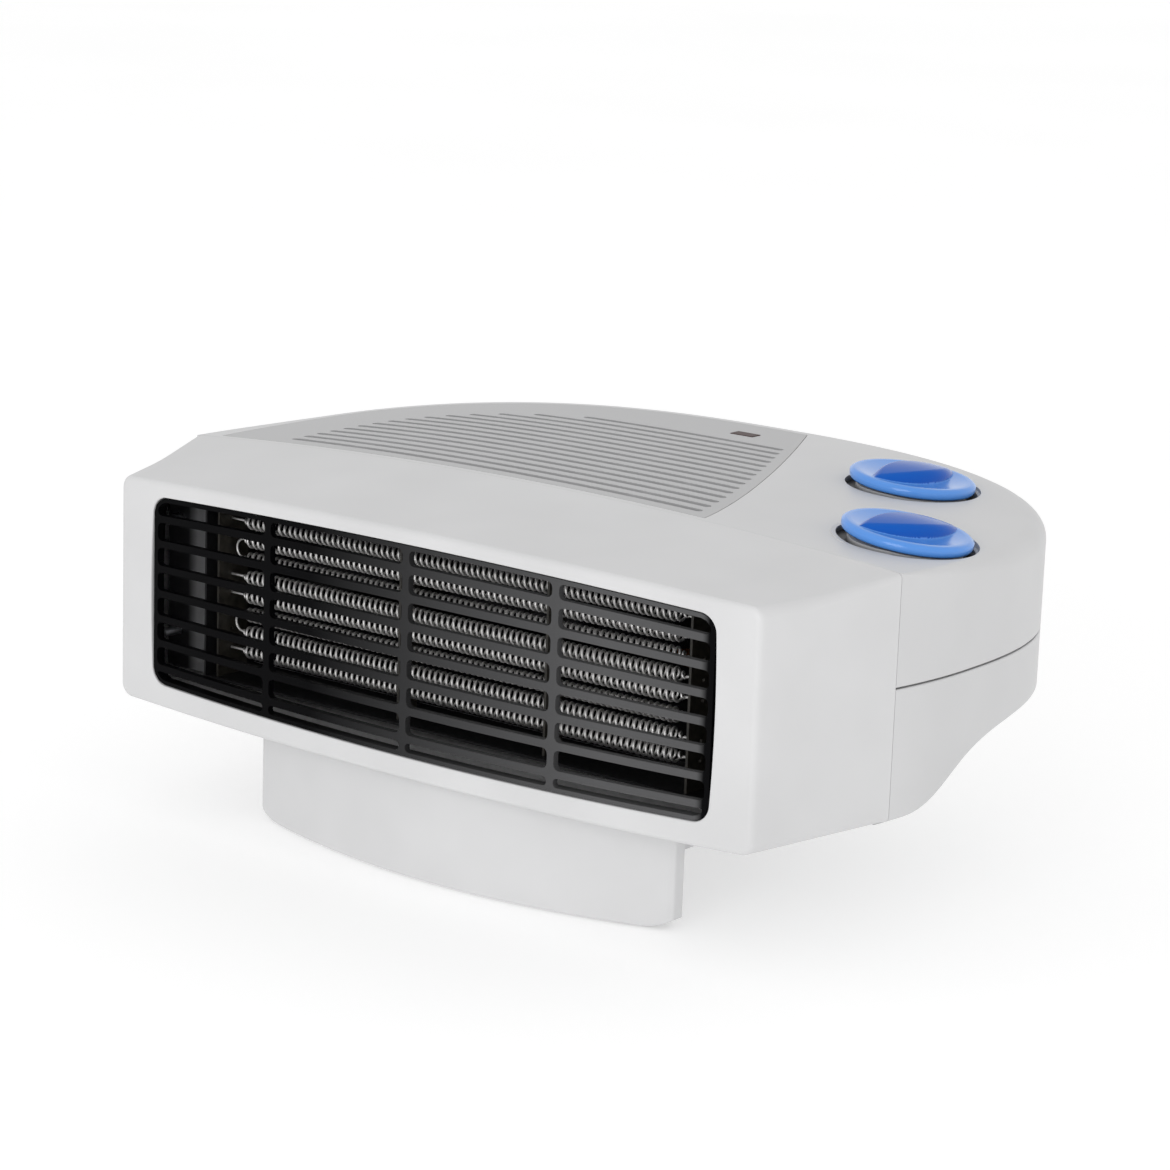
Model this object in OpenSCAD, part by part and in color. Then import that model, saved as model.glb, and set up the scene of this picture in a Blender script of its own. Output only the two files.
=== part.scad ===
// Flat fan heater: a wide low case on a curved foot, blowing warm air through a slotted front grille.
// The lengths are in millimetres. Depths called y are measured back from the corners of the front bezel.

/* [Case] */
// Widest width of the case, beside the controls
case_w = 276.6; // [272:0.2:290]
// Width across the ridge, where the front housing meets the rear shells
ridge_w = 270; // [262:0.5:272]
// Depth from the bezel corners to the back of the case
case_depth = 189.8; // [184:0.2:205]
// How far behind the bezel corners the case is widest
widest_y = 79.7; // [74:0.1:86]
// How far behind the bezel corners the front housing ends
seam_y = 48; // [44:0.5:52]
// Height of the case top at the middle of the ridge
case_top = 116; // [113:0.2:124]
// How much lower the ridge is at its two ends
ridge_crown = 4.7; // [2:0.1:6]
// How much lower the deck is at the sides, behind the ridge
deck_crown = 5.7; // [3:0.1:8]
// How far the ridge bows back at its middle
ridge_bow = 2.6; // [0.5:0.1:4]
// How much the deck falls towards the back edge
deck_fall = 1; // [0:0.1:3]
// Radius of the rounded top edge round the back
shoulder_r = 6.7; // [4:0.1:9]
// Height of the joint between the upper and lower shells
joint_z = 78.2; // [74:0.2:84]
// Wall thickness of the case mouldings
wall = 2.5; // [2:0.1:3]
// Hairline gap left where two case mouldings meet
seam_gap = 0.3; // [0.2:0.05:0.5]

/* [Underside] */
// Height of the flat bottom of the case above the floor
case_bottom = 37.4; // [35:0.2:40]
// Height of the lower side edge where it leaves the front housing
edge_front_z = 39.4; // [38.4:0.2:42]
// Height of the lower side edge at the back
edge_rear_z = 60; // [54:0.5:66]
// Distance behind the seam where the lower edge has risen halfway
scoop_mid = 30; // [24:1:38]
// How far the underside runs inwards for each millimetre that it drops
scoop_slope = 1.9; // [1.4:0.1:2.1]

/* [Front housing] */
// Width of the bezel
bezel_w = 242; // [236:0.5:250]
// Height of the bezel's lower corners
bezel_bottom = 36.6; // [35.5:0.1:38]
// Height of the bezel's upper corners
bezel_top = 107.1; // [105.5:0.1:109]
// How far the bezel's lower edge bows down at its middle
bezel_sag = 2.6; // [0:0.1:3]
// How far the bezel's upper edge bows up at its middle
bezel_rise = 2.2; // [0:0.1:4]
// How far the front face bulges forward at its middle
face_bulge = 2.6; // [1:0.1:4]
// Rounding of the bezel's outer corners
bezel_corner_r = 4; // [2:0.5:8]
// Width of the hot air opening
opening_w = 213; // [206:0.5:218]
// Height of the opening's lower corners
opening_bottom = 43.4; // [42:0.1:45]
// Height of the opening's upper corners
opening_top = 102.6; // [100:0.1:103.4]
// Rounding of the opening's corners
opening_corner_r = 5; // [3:0.5:8]
// How far the opening's short sides bow outwards
opening_side_bow = 1; // [0:0.1:2]

/* [Front grille] */
// Number of slot rows
slot_rows = 8; // [6:1:9]
// Number of slot columns
slot_columns = 4; // [3:1:5]
// Distance from one slat to the next
slat_pitch = 7.85; // [7.6:0.05:7.9]
// Height of the middle of the lowest slat, at its ends
first_slat_z = 48.6; // [47.8:0.1:49.2]
// Height of each slat
slat_h = 2.2; // [1.8:0.1:3]
// Distance from one upright bar to the next
bar_pitch = 55; // [50:0.5:57]
// Place of the middle upright bar across the width
bar_mid_x = -3; // [-5:0.5:5]
// Width of the upright bars between the columns
bar_w = 2.4; // [2:0.2:5]
// Thickness of the slats from front to back
grille_t = 2.2; // [1.6:0.1:2.4]
// Width of the rim round the grille
grille_rim = 1.2; // [1:0.1:1.6]
// How far the grille reaches behind the bezel all round
grille_lap = 1.6; // [1:0.1:1.7]

/* [Intake grille] */
// Distance from one intake louvre to the next
louvre_pitch = 6.6; // [6:0.1:8]
// Width of each intake slot
louvre_gap = 2.8; // [2:0.1:3.6]
// Half width of the intake field where it meets the ridge, on the control side
intake_front_x = 64; // [56:1:70]
// Half width of the intake field at the back, on the control side
intake_rear_x = 12; // [5:1:20]
// Plain margin between the intake panel and the case edge
intake_margin = 9; // [8:0.5:12]
// Plain margin round the slots inside the panel
louvre_margin = 4.5; // [3:0.5:8]

/* [Controls] */
// Diameter of each knob
knob_d = 39; // [34:0.5:40]
// Thickness of the knob's disc
knob_disc_h = 3.2; // [2.8:0.2:4]
// Height of the knob's grip above its disc
knob_grip_h = 3; // [2.4:0.2:5]
// Greatest width of the knob's grip
knob_grip_w = 16; // [12:0.5:18]
// Radius of the control spindles
spindle_r = 3; // [2.5:0.1:3.5]
// Gap between a knob and the seat under it
knob_gap = 0.8; // [0.3:0.1:1]
// Width of the pilot lamp window
lamp_w = 9; // [6:0.5:12]
// Depth of the pilot lamp window
lamp_l = 5; // [4:0.5:7]

/* [Foot] */
// Width of the foot across its curved front
foot_w = 161; // [150:0.2:170]
// How far behind the bezel corners the ends of the foot stand
foot_end_y = 21.5; // [20:0.5:28]
// How far the front of the foot bulges forward at its middle
foot_bulge = 15.2; // [8:0.2:18]
// Half width of the foot's narrow rear part
foot_rear_half = 38; // [34:0.5:42]
// How far behind the bezel corners the foot reaches
foot_rear_y = 152; // [146:1:156]
// Height of the rim above the floor, left by the rubber pads
pad_rise = 0.8; // [0.5:0.1:1.5]
// Diameter of the rubber pads
pad_d = 12; // [9:0.5:13]

/* [Heating element] */
// Number of coil rows in each circuit
coil_rows = 4; // [2:1:4]
// Curls in each coil row
curls = 10; // [6:1:10]
// Distance from one coil row to the next
coil_pitch = 5.9; // [5.7:0.1:6.2]
// Outer diameter of the coils
coil_d = 5; // [4:0.1:5]
// Wire diameter of the coils
coil_wire = 1; // [0.8:0.1:1.1]
// Length of each coil row between its end plates
coil_len = 171; // [150:1:172]
// How far behind the bezel corners the coils lie
coil_y = 21; // [20:0.5:23]

/* [Fan] */
// Outer diameter of the impeller
impeller_d = 104; // [90:1:106]
// Height of the impeller
impeller_h = 27; // [20:0.5:29]
// Number of impeller blades
blades = 30; // [20:1:36]
// Radius of the motor shaft
shaft_r = 2.5; // [2:0.1:3]
// Running clearance between a shaft and its bearing, all round
run_gap = 0.04; // [0.02:0.01:0.08]

/* [Hidden] */

half_w = case_w / 2;
ridge_half = ridge_w / 2;
mid_y = (case_depth - face_bulge) / 2;
light_grey = [0.86, 0.86, 0.86];
white = [0.95, 0.95, 0.95];
steel = [0.72, 0.73, 0.75];
blue = [0.22, 0.45, 0.85];

// How finely the lofted mouldings are divided
side_steps = 6;
rear_steps = 22;
seam_steps = 10;
rear_power = 2.65;
crown_power = 2.5;
crown_run = 58;
scoop_power = 3.3;
ridge_edge_r = 0.5;

// Places that several pieces share
floor_z = case_bottom + wall;
foot_top_z = bezel_bottom - bezel_sag - 0.6;
saddle_y0 = seam_y + ridge_bow + 3;
coil_z = (opening_bottom + opening_top) / 2 + 1;
flange_y = coil_y - 3;
fan_at = [-20, case_depth - 73.8];
scroll_floor_z = case_bottom + 25.6;
scroll_t = 1.5;
impeller_low = scroll_floor_z + scroll_t + 2.4;

// Places the whole heater with its origin under the middle of its footprint
module placed() {
    translate([0, -mid_y, 0])
        children();
}

// Shape functions of the case

function blend(a, b, t) = a + (b - a) * t;
function clamp(v) = max(0, min(1, v));
function bow(x) = ridge_bow * (1 - pow(x / ridge_half, 2));

// Height of the deck over any point behind the ridge
function deck_z(x, y) =
    let (
        run = clamp((y - seam_y) / crown_run),
        crown = blend(ridge_crown, deck_crown, run * (2 - run)),
        back = clamp((y - seam_y) / (case_depth - seam_y))
    )
    case_top - crown * pow(abs(x) / ridge_half, blend(2, crown_power, run)) - deck_fall * pow(back, 3);

// Point k of the right half of the plan outline, moved inwards by inset
function plan_point(k, inset) =
    k <= side_steps
    ? let (t = k / side_steps)
        [ridge_half - inset + (half_w - ridge_half) * (1 - pow(1 - t, 2)), seam_y + (widest_y - seam_y) * t]
    : let (t = (k - side_steps) / rear_steps, a = 90 * t * t * (3 - 2 * t))
        [
            (half_w - inset) * pow(cos(a), 2 / rear_power),
            widest_y + (case_depth - inset - widest_y) * pow(sin(a), 2 / rear_power)
        ];

last = side_steps + rear_steps;

// Every outline point as its side, its number and whether it lies on the front seam
outline_keys = concat(
    [for (k = [0:last]) [1, k]],
    [for (k = [last - 1:-1:0]) [-1, k]]
);
seam_xs = [for (k = [1:seam_steps - 1]) -ridge_half + ridge_w * k / seam_steps];

// Depth of the rear wall at a distance x from the middle
function rear_y(x) = widest_y + (case_depth - widest_y) * pow(1 - pow(abs(x) / half_w, rear_power), 1 / rear_power);

function shoulder_at(y) = blend(ridge_edge_r, shoulder_r, clamp((y - seam_y) / crown_run));

// Lower side edge of the rear shell, which sweeps up behind the front housing
function lower_edge_z(y) =
    let (back = max(0.01, y - seam_y))
    edge_front_z + (edge_rear_z - edge_front_z) / (1 + pow(scoop_mid / back, scoop_power));

// Joins rings of points into a closed solid, with a flat or a pointed end
module loft(rings, tip_low, tip_high) {
    n = len(rings[0]);
    m = len(rings);
    points = concat([for (r = rings) each r], [tip_low, tip_high]);
    low = n * m;
    faces = concat(
        [for (i = [0:n - 1]) [low, i, (i + 1) % n]],
        [for (j = [0:m - 2]) for (i = [0:n - 1]) [j * n + i, (j + 1) * n + i, (j + 1) * n + (i + 1) % n]],
        [for (j = [0:m - 2]) for (i = [0:n - 1]) [j * n + i, (j + 1) * n + (i + 1) % n, j * n + (i + 1) % n]],
        [for (i = [0:n - 1]) [low + 1, (m - 1) * n + (i + 1) % n, (m - 1) * n + i]]
    );
    polyhedron(points = points, faces = faces, convexity = 6);
}

// Flat ring at one height, the front closed along the seam
function flat_ring(inset, z, ahead) = concat(
    [for (q = outline_keys) let (p = plan_point(q[1], inset)) [q[0] * p[0], p[1], z]],
    [for (x = seam_xs) [x, seam_y + bow(x) - ahead, z]]
);

// Ring round the rounded shoulder, at angle a from the wall to the deck
function shoulder_ring(inset, a, ahead) = concat(
    [
        for (q = outline_keys)
            let (
                y0 = plan_point(q[1], inset)[1],
                r = max(ridge_edge_r, shoulder_at(y0) - inset),
                p = plan_point(q[1], inset + r * (1 - cos(a))),
                top = plan_point(q[1], inset + r)
            )
            [q[0] * p[0], p[1], deck_z(top[0], top[1]) - inset - r * (1 - sin(a))]
    ],
    [
        for (x = seam_xs)
            let (y = seam_y + bow(x) - ahead + (ahead > 0 ? 0 : ridge_edge_r * (1 - cos(a))))
            [x, y, deck_z(x, y) - inset - ridge_edge_r * (1 - sin(a))]
    ]
);

// Ring on the deck, drawn in towards its middle
function deck_ring(inset, s, ahead) =
    [for (p = shoulder_ring(inset, 90, ahead))
        let (x = p[0] * s, y = deck_mid_y + (p[1] - deck_mid_y) * s)
        [x, y, deck_z(x, y) - inset]];
deck_mid_y = blend(seam_y, case_depth, 0.45);

// Solid of the rear case above a height, or of its inside when inset is the wall
module upper_form(inset, low_z, ahead, angles, scales) {
    rings = concat(
        [flat_ring(inset, low_z, ahead)],
        [for (a = angles) shoulder_ring(inset, a, ahead)],
        [for (s = scales) deck_ring(inset, s, ahead)]
    );
    loft(rings, [0, deck_mid_y, low_z], [0, deck_mid_y, deck_z(0, deck_mid_y) - inset]);
}

// Ring of the scooped underside, a share of the way from the flat bottom to the lower side edge
function scoop_ring(inset, share, ahead) = concat(
    [
        for (q = outline_keys)
            let (
                edge = lower_edge_z(plan_point(q[1], 0)[1]),
                drop = edge - case_bottom,
                p = plan_point(q[1], inset + edge_round + drop * scoop_slope * (1 - share))
            )
            [q[0] * p[0], p[1], case_bottom + inset + drop * share]
    ],
    [for (x = seam_xs) [x, seam_y + bow(x) - ahead, case_bottom + inset]]
);

// Ring just above the lower side edge, where the wall becomes upright
function edge_ring(inset, ahead) = concat(
    [
        for (q = outline_keys)
            let (p = plan_point(q[1], inset))
            [q[0] * p[0], p[1], lower_edge_z(plan_point(q[1], 0)[1]) + inset + edge_round]
    ],
    [for (x = seam_xs) [x, seam_y + bow(x) - ahead, edge_front_z + inset + edge_round]]
);
edge_round = 1.2;

module lower_form(inset, high_z, ahead) {
    rings = [
        scoop_ring(inset, 0, ahead),
        scoop_ring(inset, 1, ahead),
        edge_ring(inset, ahead),
        flat_ring(inset, high_z, ahead)
    ];
    loft(rings, [0, deck_mid_y, case_bottom + inset], [0, deck_mid_y, high_z]);
}

// Rounded rectangle as points, counted the same way round for every size
edge_steps = 10;
corner_steps = 3;
upright_steps = 3;
function rounded(hw, hh, r) = concat(
    [for (i = [0:edge_steps - 1]) [blend(-(hw - r), hw - r, i / edge_steps), -hh]],
    [for (i = [0:corner_steps - 1]) let (a = 90 * i / corner_steps) [hw - r + r * sin(a), -hh + r - r * cos(a)]],
    [for (i = [0:upright_steps - 1]) [hw, blend(-(hh - r), hh - r, i / upright_steps)]],
    [for (i = [0:corner_steps - 1]) let (a = 90 * i / corner_steps) [hw - r + r * cos(a), hh - r + r * sin(a)]],
    [for (i = [0:edge_steps - 1]) [blend(hw - r, -(hw - r), i / edge_steps), hh]],
    [for (i = [0:corner_steps - 1]) let (a = 90 * i / corner_steps) [-(hw - r) - r * sin(a), hh - r + r * cos(a)]],
    [for (i = [0:upright_steps - 1]) [-hw, blend(hh - r, -(hh - r), i / upright_steps)]],
    [for (i = [0:corner_steps - 1]) let (a = 90 * i / corner_steps) [-(hw - r) - r * cos(a), -(hh - r) - r * sin(a)]]
);

// Barrel outline: a rounded rectangle whose long edges bow by sag and rise, and its sides by side_bow
function barrel(w, low, high, sag, rise, side_bow, r) =
    let (hw = w / 2, hh = (high - low) / 2, mid = (high + low) / 2)
    [
        for (p = rounded(hw, hh, r))
            let (u = p[0] / hw, v = p[1] / hh)
            [p[0] + side_bow * u * (1 - v * v), mid + p[1] + (v > 0 ? rise : sag) * v * (1 - u * u)]
    ];

// Ring of the front housing at depth y, bulging by b at its middle
function front_ring(w, low, high, sag, rise, r, y, b) =
    [for (p = barrel(w, low, high, sag, rise, 0, r)) [p[0], y + b * (1 - pow(2 * p[0] / w, 2)), p[1]]];

ridge_end_z = case_top - ridge_crown;
slope_y = 22;
slope_hollow = 1;

// Ring between the bezel at t 0 and the seam at t 1, moved inwards by inset
function slope_ring(t, inset, dip) = front_ring(
    blend(bezel_w, ridge_w, t) - 2 * inset,
    blend(bezel_bottom, edge_front_z, t) + inset,
    blend(bezel_top, ridge_end_z, t) - inset - dip,
    blend(bezel_sag, edge_front_z - case_bottom, t),
    blend(bezel_rise, ridge_crown, t),
    blend(bezel_corner_r, 1.5, min(1, t)),
    seam_y * t,
    blend(-face_bulge, ridge_bow, t)
);

bezel_chamfer = 1;
bezel_t = 2.6;
face_inset = 14;

// Depth of the bulging front face at a distance x from the middle
function face_y(x) = -face_bulge * (1 - pow(2 * x / bezel_w, 2));

// Ring in the front face, moved inwards by inset and back by a depth
function face_ring(inset, back) =
    [for (p = slope_ring(0, inset, 0)) [p[0], face_y(p[0]) + back, p[2]]];

module front_form() {
    share = slope_y / seam_y;
    rings = [
        [for (p = slope_ring(1, 0, 0)) p - [0, seam_gap, 0]],
        slope_ring(share, 0, slope_hollow),
        face_ring(0, bezel_chamfer),
        face_ring(bezel_chamfer, 0),
        face_ring(face_inset, 0)
    ];
    mid = (bezel_bottom + bezel_top) / 2;
    loft(rings, [0, seam_y + ridge_bow - seam_gap, mid], [0, -face_bulge, mid]);
}

module front_inside() {
    share = slope_y / seam_y;
    past = 1.12;
    rings = [
        slope_ring(past, wall, 0),
        slope_ring(share, wall, slope_hollow),
        face_ring(wall, bezel_t),
        face_ring(face_inset, bezel_t)
    ];
    mid = (bezel_bottom + bezel_top) / 2;
    loft(rings, [0, seam_y * past + ridge_bow, mid], [0, bezel_t - face_bulge, mid]);
}

// Stretches a front view outline along the depth, from y0 to y1
module along_y(y0, y1) {
    translate([0, y1, 0])
        rotate([90, 0, 0])
            linear_extrude(height = y1 - y0)
                children();
}

// Stretches a side view outline, given as depth and height, across the width from x0 to x1
module along_x(x0, x1) {
    translate([x0, 0, 0])
        rotate([90, 0, 90])
            linear_extrude(height = x1 - x0)
                children();
}

module opening_outline(grow) {
    polygon(barrel(
        opening_w + 2 * grow, opening_bottom - grow, opening_top + grow,
        bezel_sag, bezel_rise, opening_side_bow, opening_corner_r + grow
    ));
}

grille_front = 0.4;
grille_fit = 0.3;
flange_t = 1.2;

module front_housing() {
    placed()
        color(white)
            difference() {
                front_form();
                difference() {
                    front_inside();
                    for (x = boss_xs)
                        for (z = boss_zs) {
                            along_y(0, flange_y)
                                translate([x, z])
                                    circle(r = boss_r, $fn = 32);
                            along_y(0, flange_y - 1)
                                translate([x > 0 ? x : x - boss_web, z - wall / 2])
                                    square([boss_web, wall]);
                        }
                }
                along_y(-face_bulge - 5, 12)
                    opening_outline(0);
                for (x = boss_xs)
                    for (z = boss_zs)
                        along_y(flange_y - 9, flange_y + 1)
                            translate([x, z])
                                circle(r = screw_r + screw_gap, $fn = 32);
            }
}

// Curved plate that follows the bulge of the front face, from depth d to d plus t
module bulged_plate(w, d, t) {
    steps = 16;
    xs = [for (i = [0:steps]) -w / 2 + w * i / steps];
    linear_extrude(height = case_top)
        polygon(concat(
            [for (x = xs) [x, face_y(x) + d]],
            [for (i = [steps:-1:0]) [xs[i], face_y(xs[i]) + d + t]]
        ));
}

// Angles round a slot's corners on one side, each with 0 at the low corner and 1 at the high one
slot_corners = [[-60, 0], [-30, 0], [0, 0], [0, 1], [30, 1], [60, 1]];
slot_corner_r = 1.6;

// One slot between two heights, bowed like the edges of the opening and with rounded corners
module grille_slot(x0, x1, low, high) {
    function rise(z) = blend(-bezel_sag, bezel_rise, (z - opening_bottom) / (opening_top - opening_bottom));
    function arch(x) = 1 - pow(2 * x / opening_w, 2);
    r = min(slot_corner_r, (high - low) * 0.45);
    function corner_z(c) = blend(low + r, high - r, c[1]) + r * sin(c[0]);
    steps = 4;
    a0 = x0 + r;
    a1 = x1 - r;
    polygon(concat(
        [for (i = [0:steps]) let (x = blend(a0, a1, i / steps)) [x, low + rise(low) * arch(x)]],
        [for (c = slot_corners) let (z = corner_z(c)) [a1 + r * cos(c[0]), z + rise(z) * arch(a1)]],
        [for (i = [steps:-1:0]) let (x = blend(a0, a1, i / steps)) [x, high + rise(high) * arch(x)]],
        [for (i = [5:-1:0]) let (c = slot_corners[i], z = corner_z(c)) [a0 - r * cos(c[0]), z + rise(z) * arch(a0)]]
    ));
}

// Ring that follows the opening, from one distance outside it to one inside
module opening_ring(outer, inner) {
    difference() {
        opening_outline(outer);
        opening_outline(inner);
    }
}

module front_grille() {
    inner = -grille_fit - grille_rim;
    end_x = opening_w / 2 + inner;
    bar_xs = [for (k = [0:slot_columns - 2]) bar_mid_x + (k - (slot_columns - 2) / 2) * bar_pitch];
    slat_zs = [for (k = [0:slot_rows - 2]) first_slat_z + k * slat_pitch];
    back = bezel_t + 0.3;
    placed()
        color([0.09, 0.09, 0.1]) {
            difference() {
                intersection() {
                    bulged_plate(opening_w, grille_front, grille_t);
                    along_y(-face_bulge, 10)
                        opening_outline(-grille_fit);
                }
                along_y(-face_bulge - 1, 20)
                    for (c = [0:slot_columns - 1])
                        for (row = [0:slot_rows - 1])
                            grille_slot(
                                c == 0 ? -end_x : bar_xs[c - 1] + bar_w / 2,
                                c == slot_columns - 1 ? end_x : bar_xs[c] - bar_w / 2,
                                row == 0 ? opening_bottom - inner : slat_zs[row - 1] + slat_h / 2,
                                row == slot_rows - 1 ? opening_top + inner : slat_zs[row] - slat_h / 2
                            );
            }
            intersection() {
                bulged_plate(opening_w, grille_front, back + flange_t - grille_front);
                along_y(-face_bulge, 20)
                    opening_ring(-grille_fit, inner);
            }
            intersection() {
                bulged_plate(opening_w + 2 * grille_lap, back, flange_t);
                along_y(-face_bulge, 20)
                    opening_ring(grille_lap, inner);
                along_y(-face_bulge, 20)
                    polygon(barrel(
                        bezel_w - 2 * (wall + grille_fit), bezel_bottom + wall + grille_fit,
                        bezel_top - wall - grille_fit, bezel_sag, bezel_rise, 0, bezel_corner_r
                    ));
            }
        }
}

// Intake panel in the deck

intake_y0 = seam_y + 3;
intake_power = 1.3;
intake_fit = 0.25;

// Control side edge of the intake panel at depth y
function intake_edge(y) =
    intake_front_x - (intake_front_x - intake_rear_x)
    * pow(clamp((y - seam_y) / (case_depth - intake_margin - seam_y)), intake_power);

// Half width of the deck at depth y, moved inwards by inset
function deck_half(y, inset) =
    y < widest_y
    ? ridge_half - inset + (half_w - ridge_half) * (1 - pow(1 - (y - seam_y) / (widest_y - seam_y), 2))
    : (half_w - inset) * pow(1 - pow(clamp((y - widest_y) / (case_depth - inset - widest_y)), rear_power), 1 / rear_power);

// Plan outline of the intake panel, grown all round by fit
function intake_outline(fit) =
    let (m = intake_margin - fit, y0 = intake_y0 - fit, y1 = case_depth - m)
    concat(
        [for (i = [0:8]) let (y = blend(y0 + bow(intake_front_x), y1 - 0.4, i / 8)) [intake_edge(y) + fit, y]],
        [for (k = [last:-1:0]) let (p = plan_point(k, m)) if (p[1] > y0 + 1) [-p[0], p[1]]],
        [for (i = [0:8]) let (x = blend(-deck_half(y0 + 0.1, m), intake_front_x - 6, i / 8)) [x, y0 + bow(x)]]
    );

module intake_prism(fit) {
    linear_extrude(height = case_top + 10)
        polygon(intake_outline(fit));
}

// Louvre slots, cut straight down and parallel to the ridge
louvre_left = 24;
louvre_last_y = case_depth - 32.8;
module louvre_slots() {
    first = intake_y0 + ridge_bow + louvre_margin;
    for (y = [first:louvre_pitch:louvre_last_y]) {
        right = intake_edge(y) - louvre_margin;
        left = -deck_half(y, intake_margin + louvre_left);
        translate([left, y, deck_z(half_w, y) - 20])
            cube([right - left, louvre_gap, 40]);
    }
}

rib_xs = [-78, -38, 2, 32];
rib_w = 2;
rib_h = 4.5;
rib_gap = 0.6;

// Ribs under the louvres that tie them together
module intake_ribs() {
    for (x = rib_xs) {
        y0 = intake_y0 + ridge_bow + 2;
        y1 = min(lamp_y - lamp_l / 2 - lens_lap - rib_gap, seam_y + 0.86 * (case_depth - seam_y)
            * pow((intake_front_x - x - 6) / (intake_front_x - intake_rear_x), 1 / intake_power));
        top = deck_z(x, y1) - wall / 2;
        translate([x - rib_w / 2, y0, top - rib_h])
            cube([rib_w, y1 - y0, rib_h]);
    }
}

lamp_x = -1.6;
lamp_y = case_depth - 24.8;
lamp_z = deck_z(lamp_x, lamp_y);
lamp_fit = 0.15;
lens_lap = 1.5;
lens_base = -wall - 3;

module intake_grille() {
    placed()
        color([0.78, 0.78, 0.79])
            difference() {
                union() {
                    intersection() {
                        difference() {
                            upper_form(0, deck_z(half_w, case_depth) - 30, 0, [60, 90], [0.8, 0.5, 0.25]);
                            upper_form(wall, deck_z(half_w, case_depth) - 31, 8, [60, 90], [0.8, 0.5, 0.25]);
                        }
                        intake_prism(0);
                        translate([-half_w, 0, deck_z(half_w, case_depth) - 6])
                            cube([case_w, case_depth, 40]);
                    }
                    intake_ribs();
                }
                louvre_slots();
                translate([lamp_x - lamp_w / 2, lamp_y - lamp_l / 2, 0])
                    cube([lamp_w, lamp_l, case_top + 10]);
            }
}

module pilot_lamp_lens() {
    placed()
        color([0.45, 0.05, 0.06])
            translate([lamp_x, lamp_y, lamp_z]) {
                translate([lamp_fit - lamp_w / 2, lamp_fit - lamp_l / 2, lens_base])
                    cube([lamp_w - 2 * lamp_fit, lamp_l - 2 * lamp_fit, 0.2 - lens_base]);
                translate([-lamp_w / 2 - lens_lap, -lamp_l / 2 - lens_lap, lens_base])
                    cube([lamp_w + 2 * lens_lap, lamp_l + 2 * lens_lap, 2.7]);
            }
}

module pilot_lamp() {
    placed()
        color([0.9, 0.6, 0.4])
            translate([lamp_x - 8, lamp_y, lamp_z + lens_base - 3.2])
                rotate([0, 90, 0]) {
                    cylinder(r = 3, h = 14, $fn = 48);
                    translate([0, 0, 14])
                        cylinder(r1 = 3, r2 = 1, h = 2.5, $fn = 48);
                }
}

// Controls: each one's place on the deck and how its axis leans back and sideways
selector_at = [half_w - 24.8, widest_y + 3.3];
selector_lean = [-3, 8, 0];
thermostat_at = [half_w - 60.3, case_depth - 48.8];
thermostat_lean = [-2, 5.5, 0];
seat_r = knob_d / 2 + 1.5;
seat_t = 4;
seat_drop = 0.4;
neck_r = spindle_r + 2;
neck_gap = 0.2;

module at_control(at, lean) {
    translate([at[0], at[1], deck_z(at[0], at[1]) - seat_drop])
        rotate(lean)
            children();
}

// Disc with a dished face and a crowned grip, on a hub that takes the spindle
module knob(turn) {
    r = knob_d / 2;
    grip_half = r - 0.8;
    lens_r = (grip_half * grip_half + pow(knob_grip_w / 2, 2)) / knob_grip_w;
    rise = knob_grip_h + 0.2;
    dome_r = (r * r + rise * rise) / (2 * rise);
    rotate([0, 0, turn]) difference() {
        union() {
            rotate_extrude($fn = 96)
                polygon([
                    [0, 0.8], [r - 2.4, 0.8], [r - 2, 0], [r - 0.4, 0], [r, 0.6],
                    [r - 0.3, knob_disc_h - 1], [r - 1, knob_disc_h - 0.3], [r - 2, knob_disc_h],
                    [r - 4, knob_disc_h - 0.3], [r - 9, knob_disc_h - 1], [0, knob_disc_h - 1.3]
                ]);
            rotate([0, 0, 38])
                intersection() {
                    translate([0, 0, knob_disc_h + knob_grip_h - dome_r])
                        sphere(r = dome_r, $fn = 96);
                    translate([0, knob_grip_w / 2 - lens_r, 0])
                        cylinder(r = lens_r, h = 30, $fn = 128);
                    translate([0, lens_r - knob_grip_w / 2, 0])
                        cylinder(r = lens_r, h = 30, $fn = 128);
                    translate([0, 0, 1.5])
                        cylinder(r = r - 0.5, h = 30, $fn = 96);
                }
        }
        translate([0, 0, -1])
            cylinder(r = spindle_r + bore_gap, h = spindle_top + 1.2, $fn = 48);
    }
}
bore_gap = 0.03;
spindle_top = knob_disc_h + knob_grip_h - 1.7;

module selector_knob() {
    placed()
        color(blue)
            at_control(selector_at, selector_lean)
                translate([0, 0, knob_gap])
                    knob(30);
}

module thermostat_knob() {
    placed()
        color(blue)
            at_control(thermostat_at, thermostat_lean)
                translate([0, 0, knob_gap])
                    knob(42);
}

spindle_low = -seat_t - 13;

// Control spindle, from its wafer in the switch body up into the knob
module spindle() {
    translate([0, 0, spindle_low])
        cylinder(r = spindle_r, h = knob_gap + spindle_top - 0.2 - spindle_low, $fn = 48);
}

module selector_spindle() {
    placed()
        color([0.9, 0.9, 0.88])
            at_control(selector_at, selector_lean)
                spindle();
}

module thermostat_spindle() {
    placed()
        color([0.9, 0.9, 0.88])
            at_control(thermostat_at, thermostat_lean)
                spindle();
}

// Neck of a control, which passes through the seat and carries the spindle
module control_neck() {
    translate([0, 0, -seat_t - neck_gap])
        cylinder(r = neck_r, h = seat_t + 2 * neck_gap, $fn = 64);
}

module spindle_bore() {
    translate([0, 0, spindle_low - 0.3])
        cylinder(r = spindle_r + run_gap, h = 40, $fn = 48);
}

tab_t = 0.8;
tab_w = 6.3;

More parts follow.
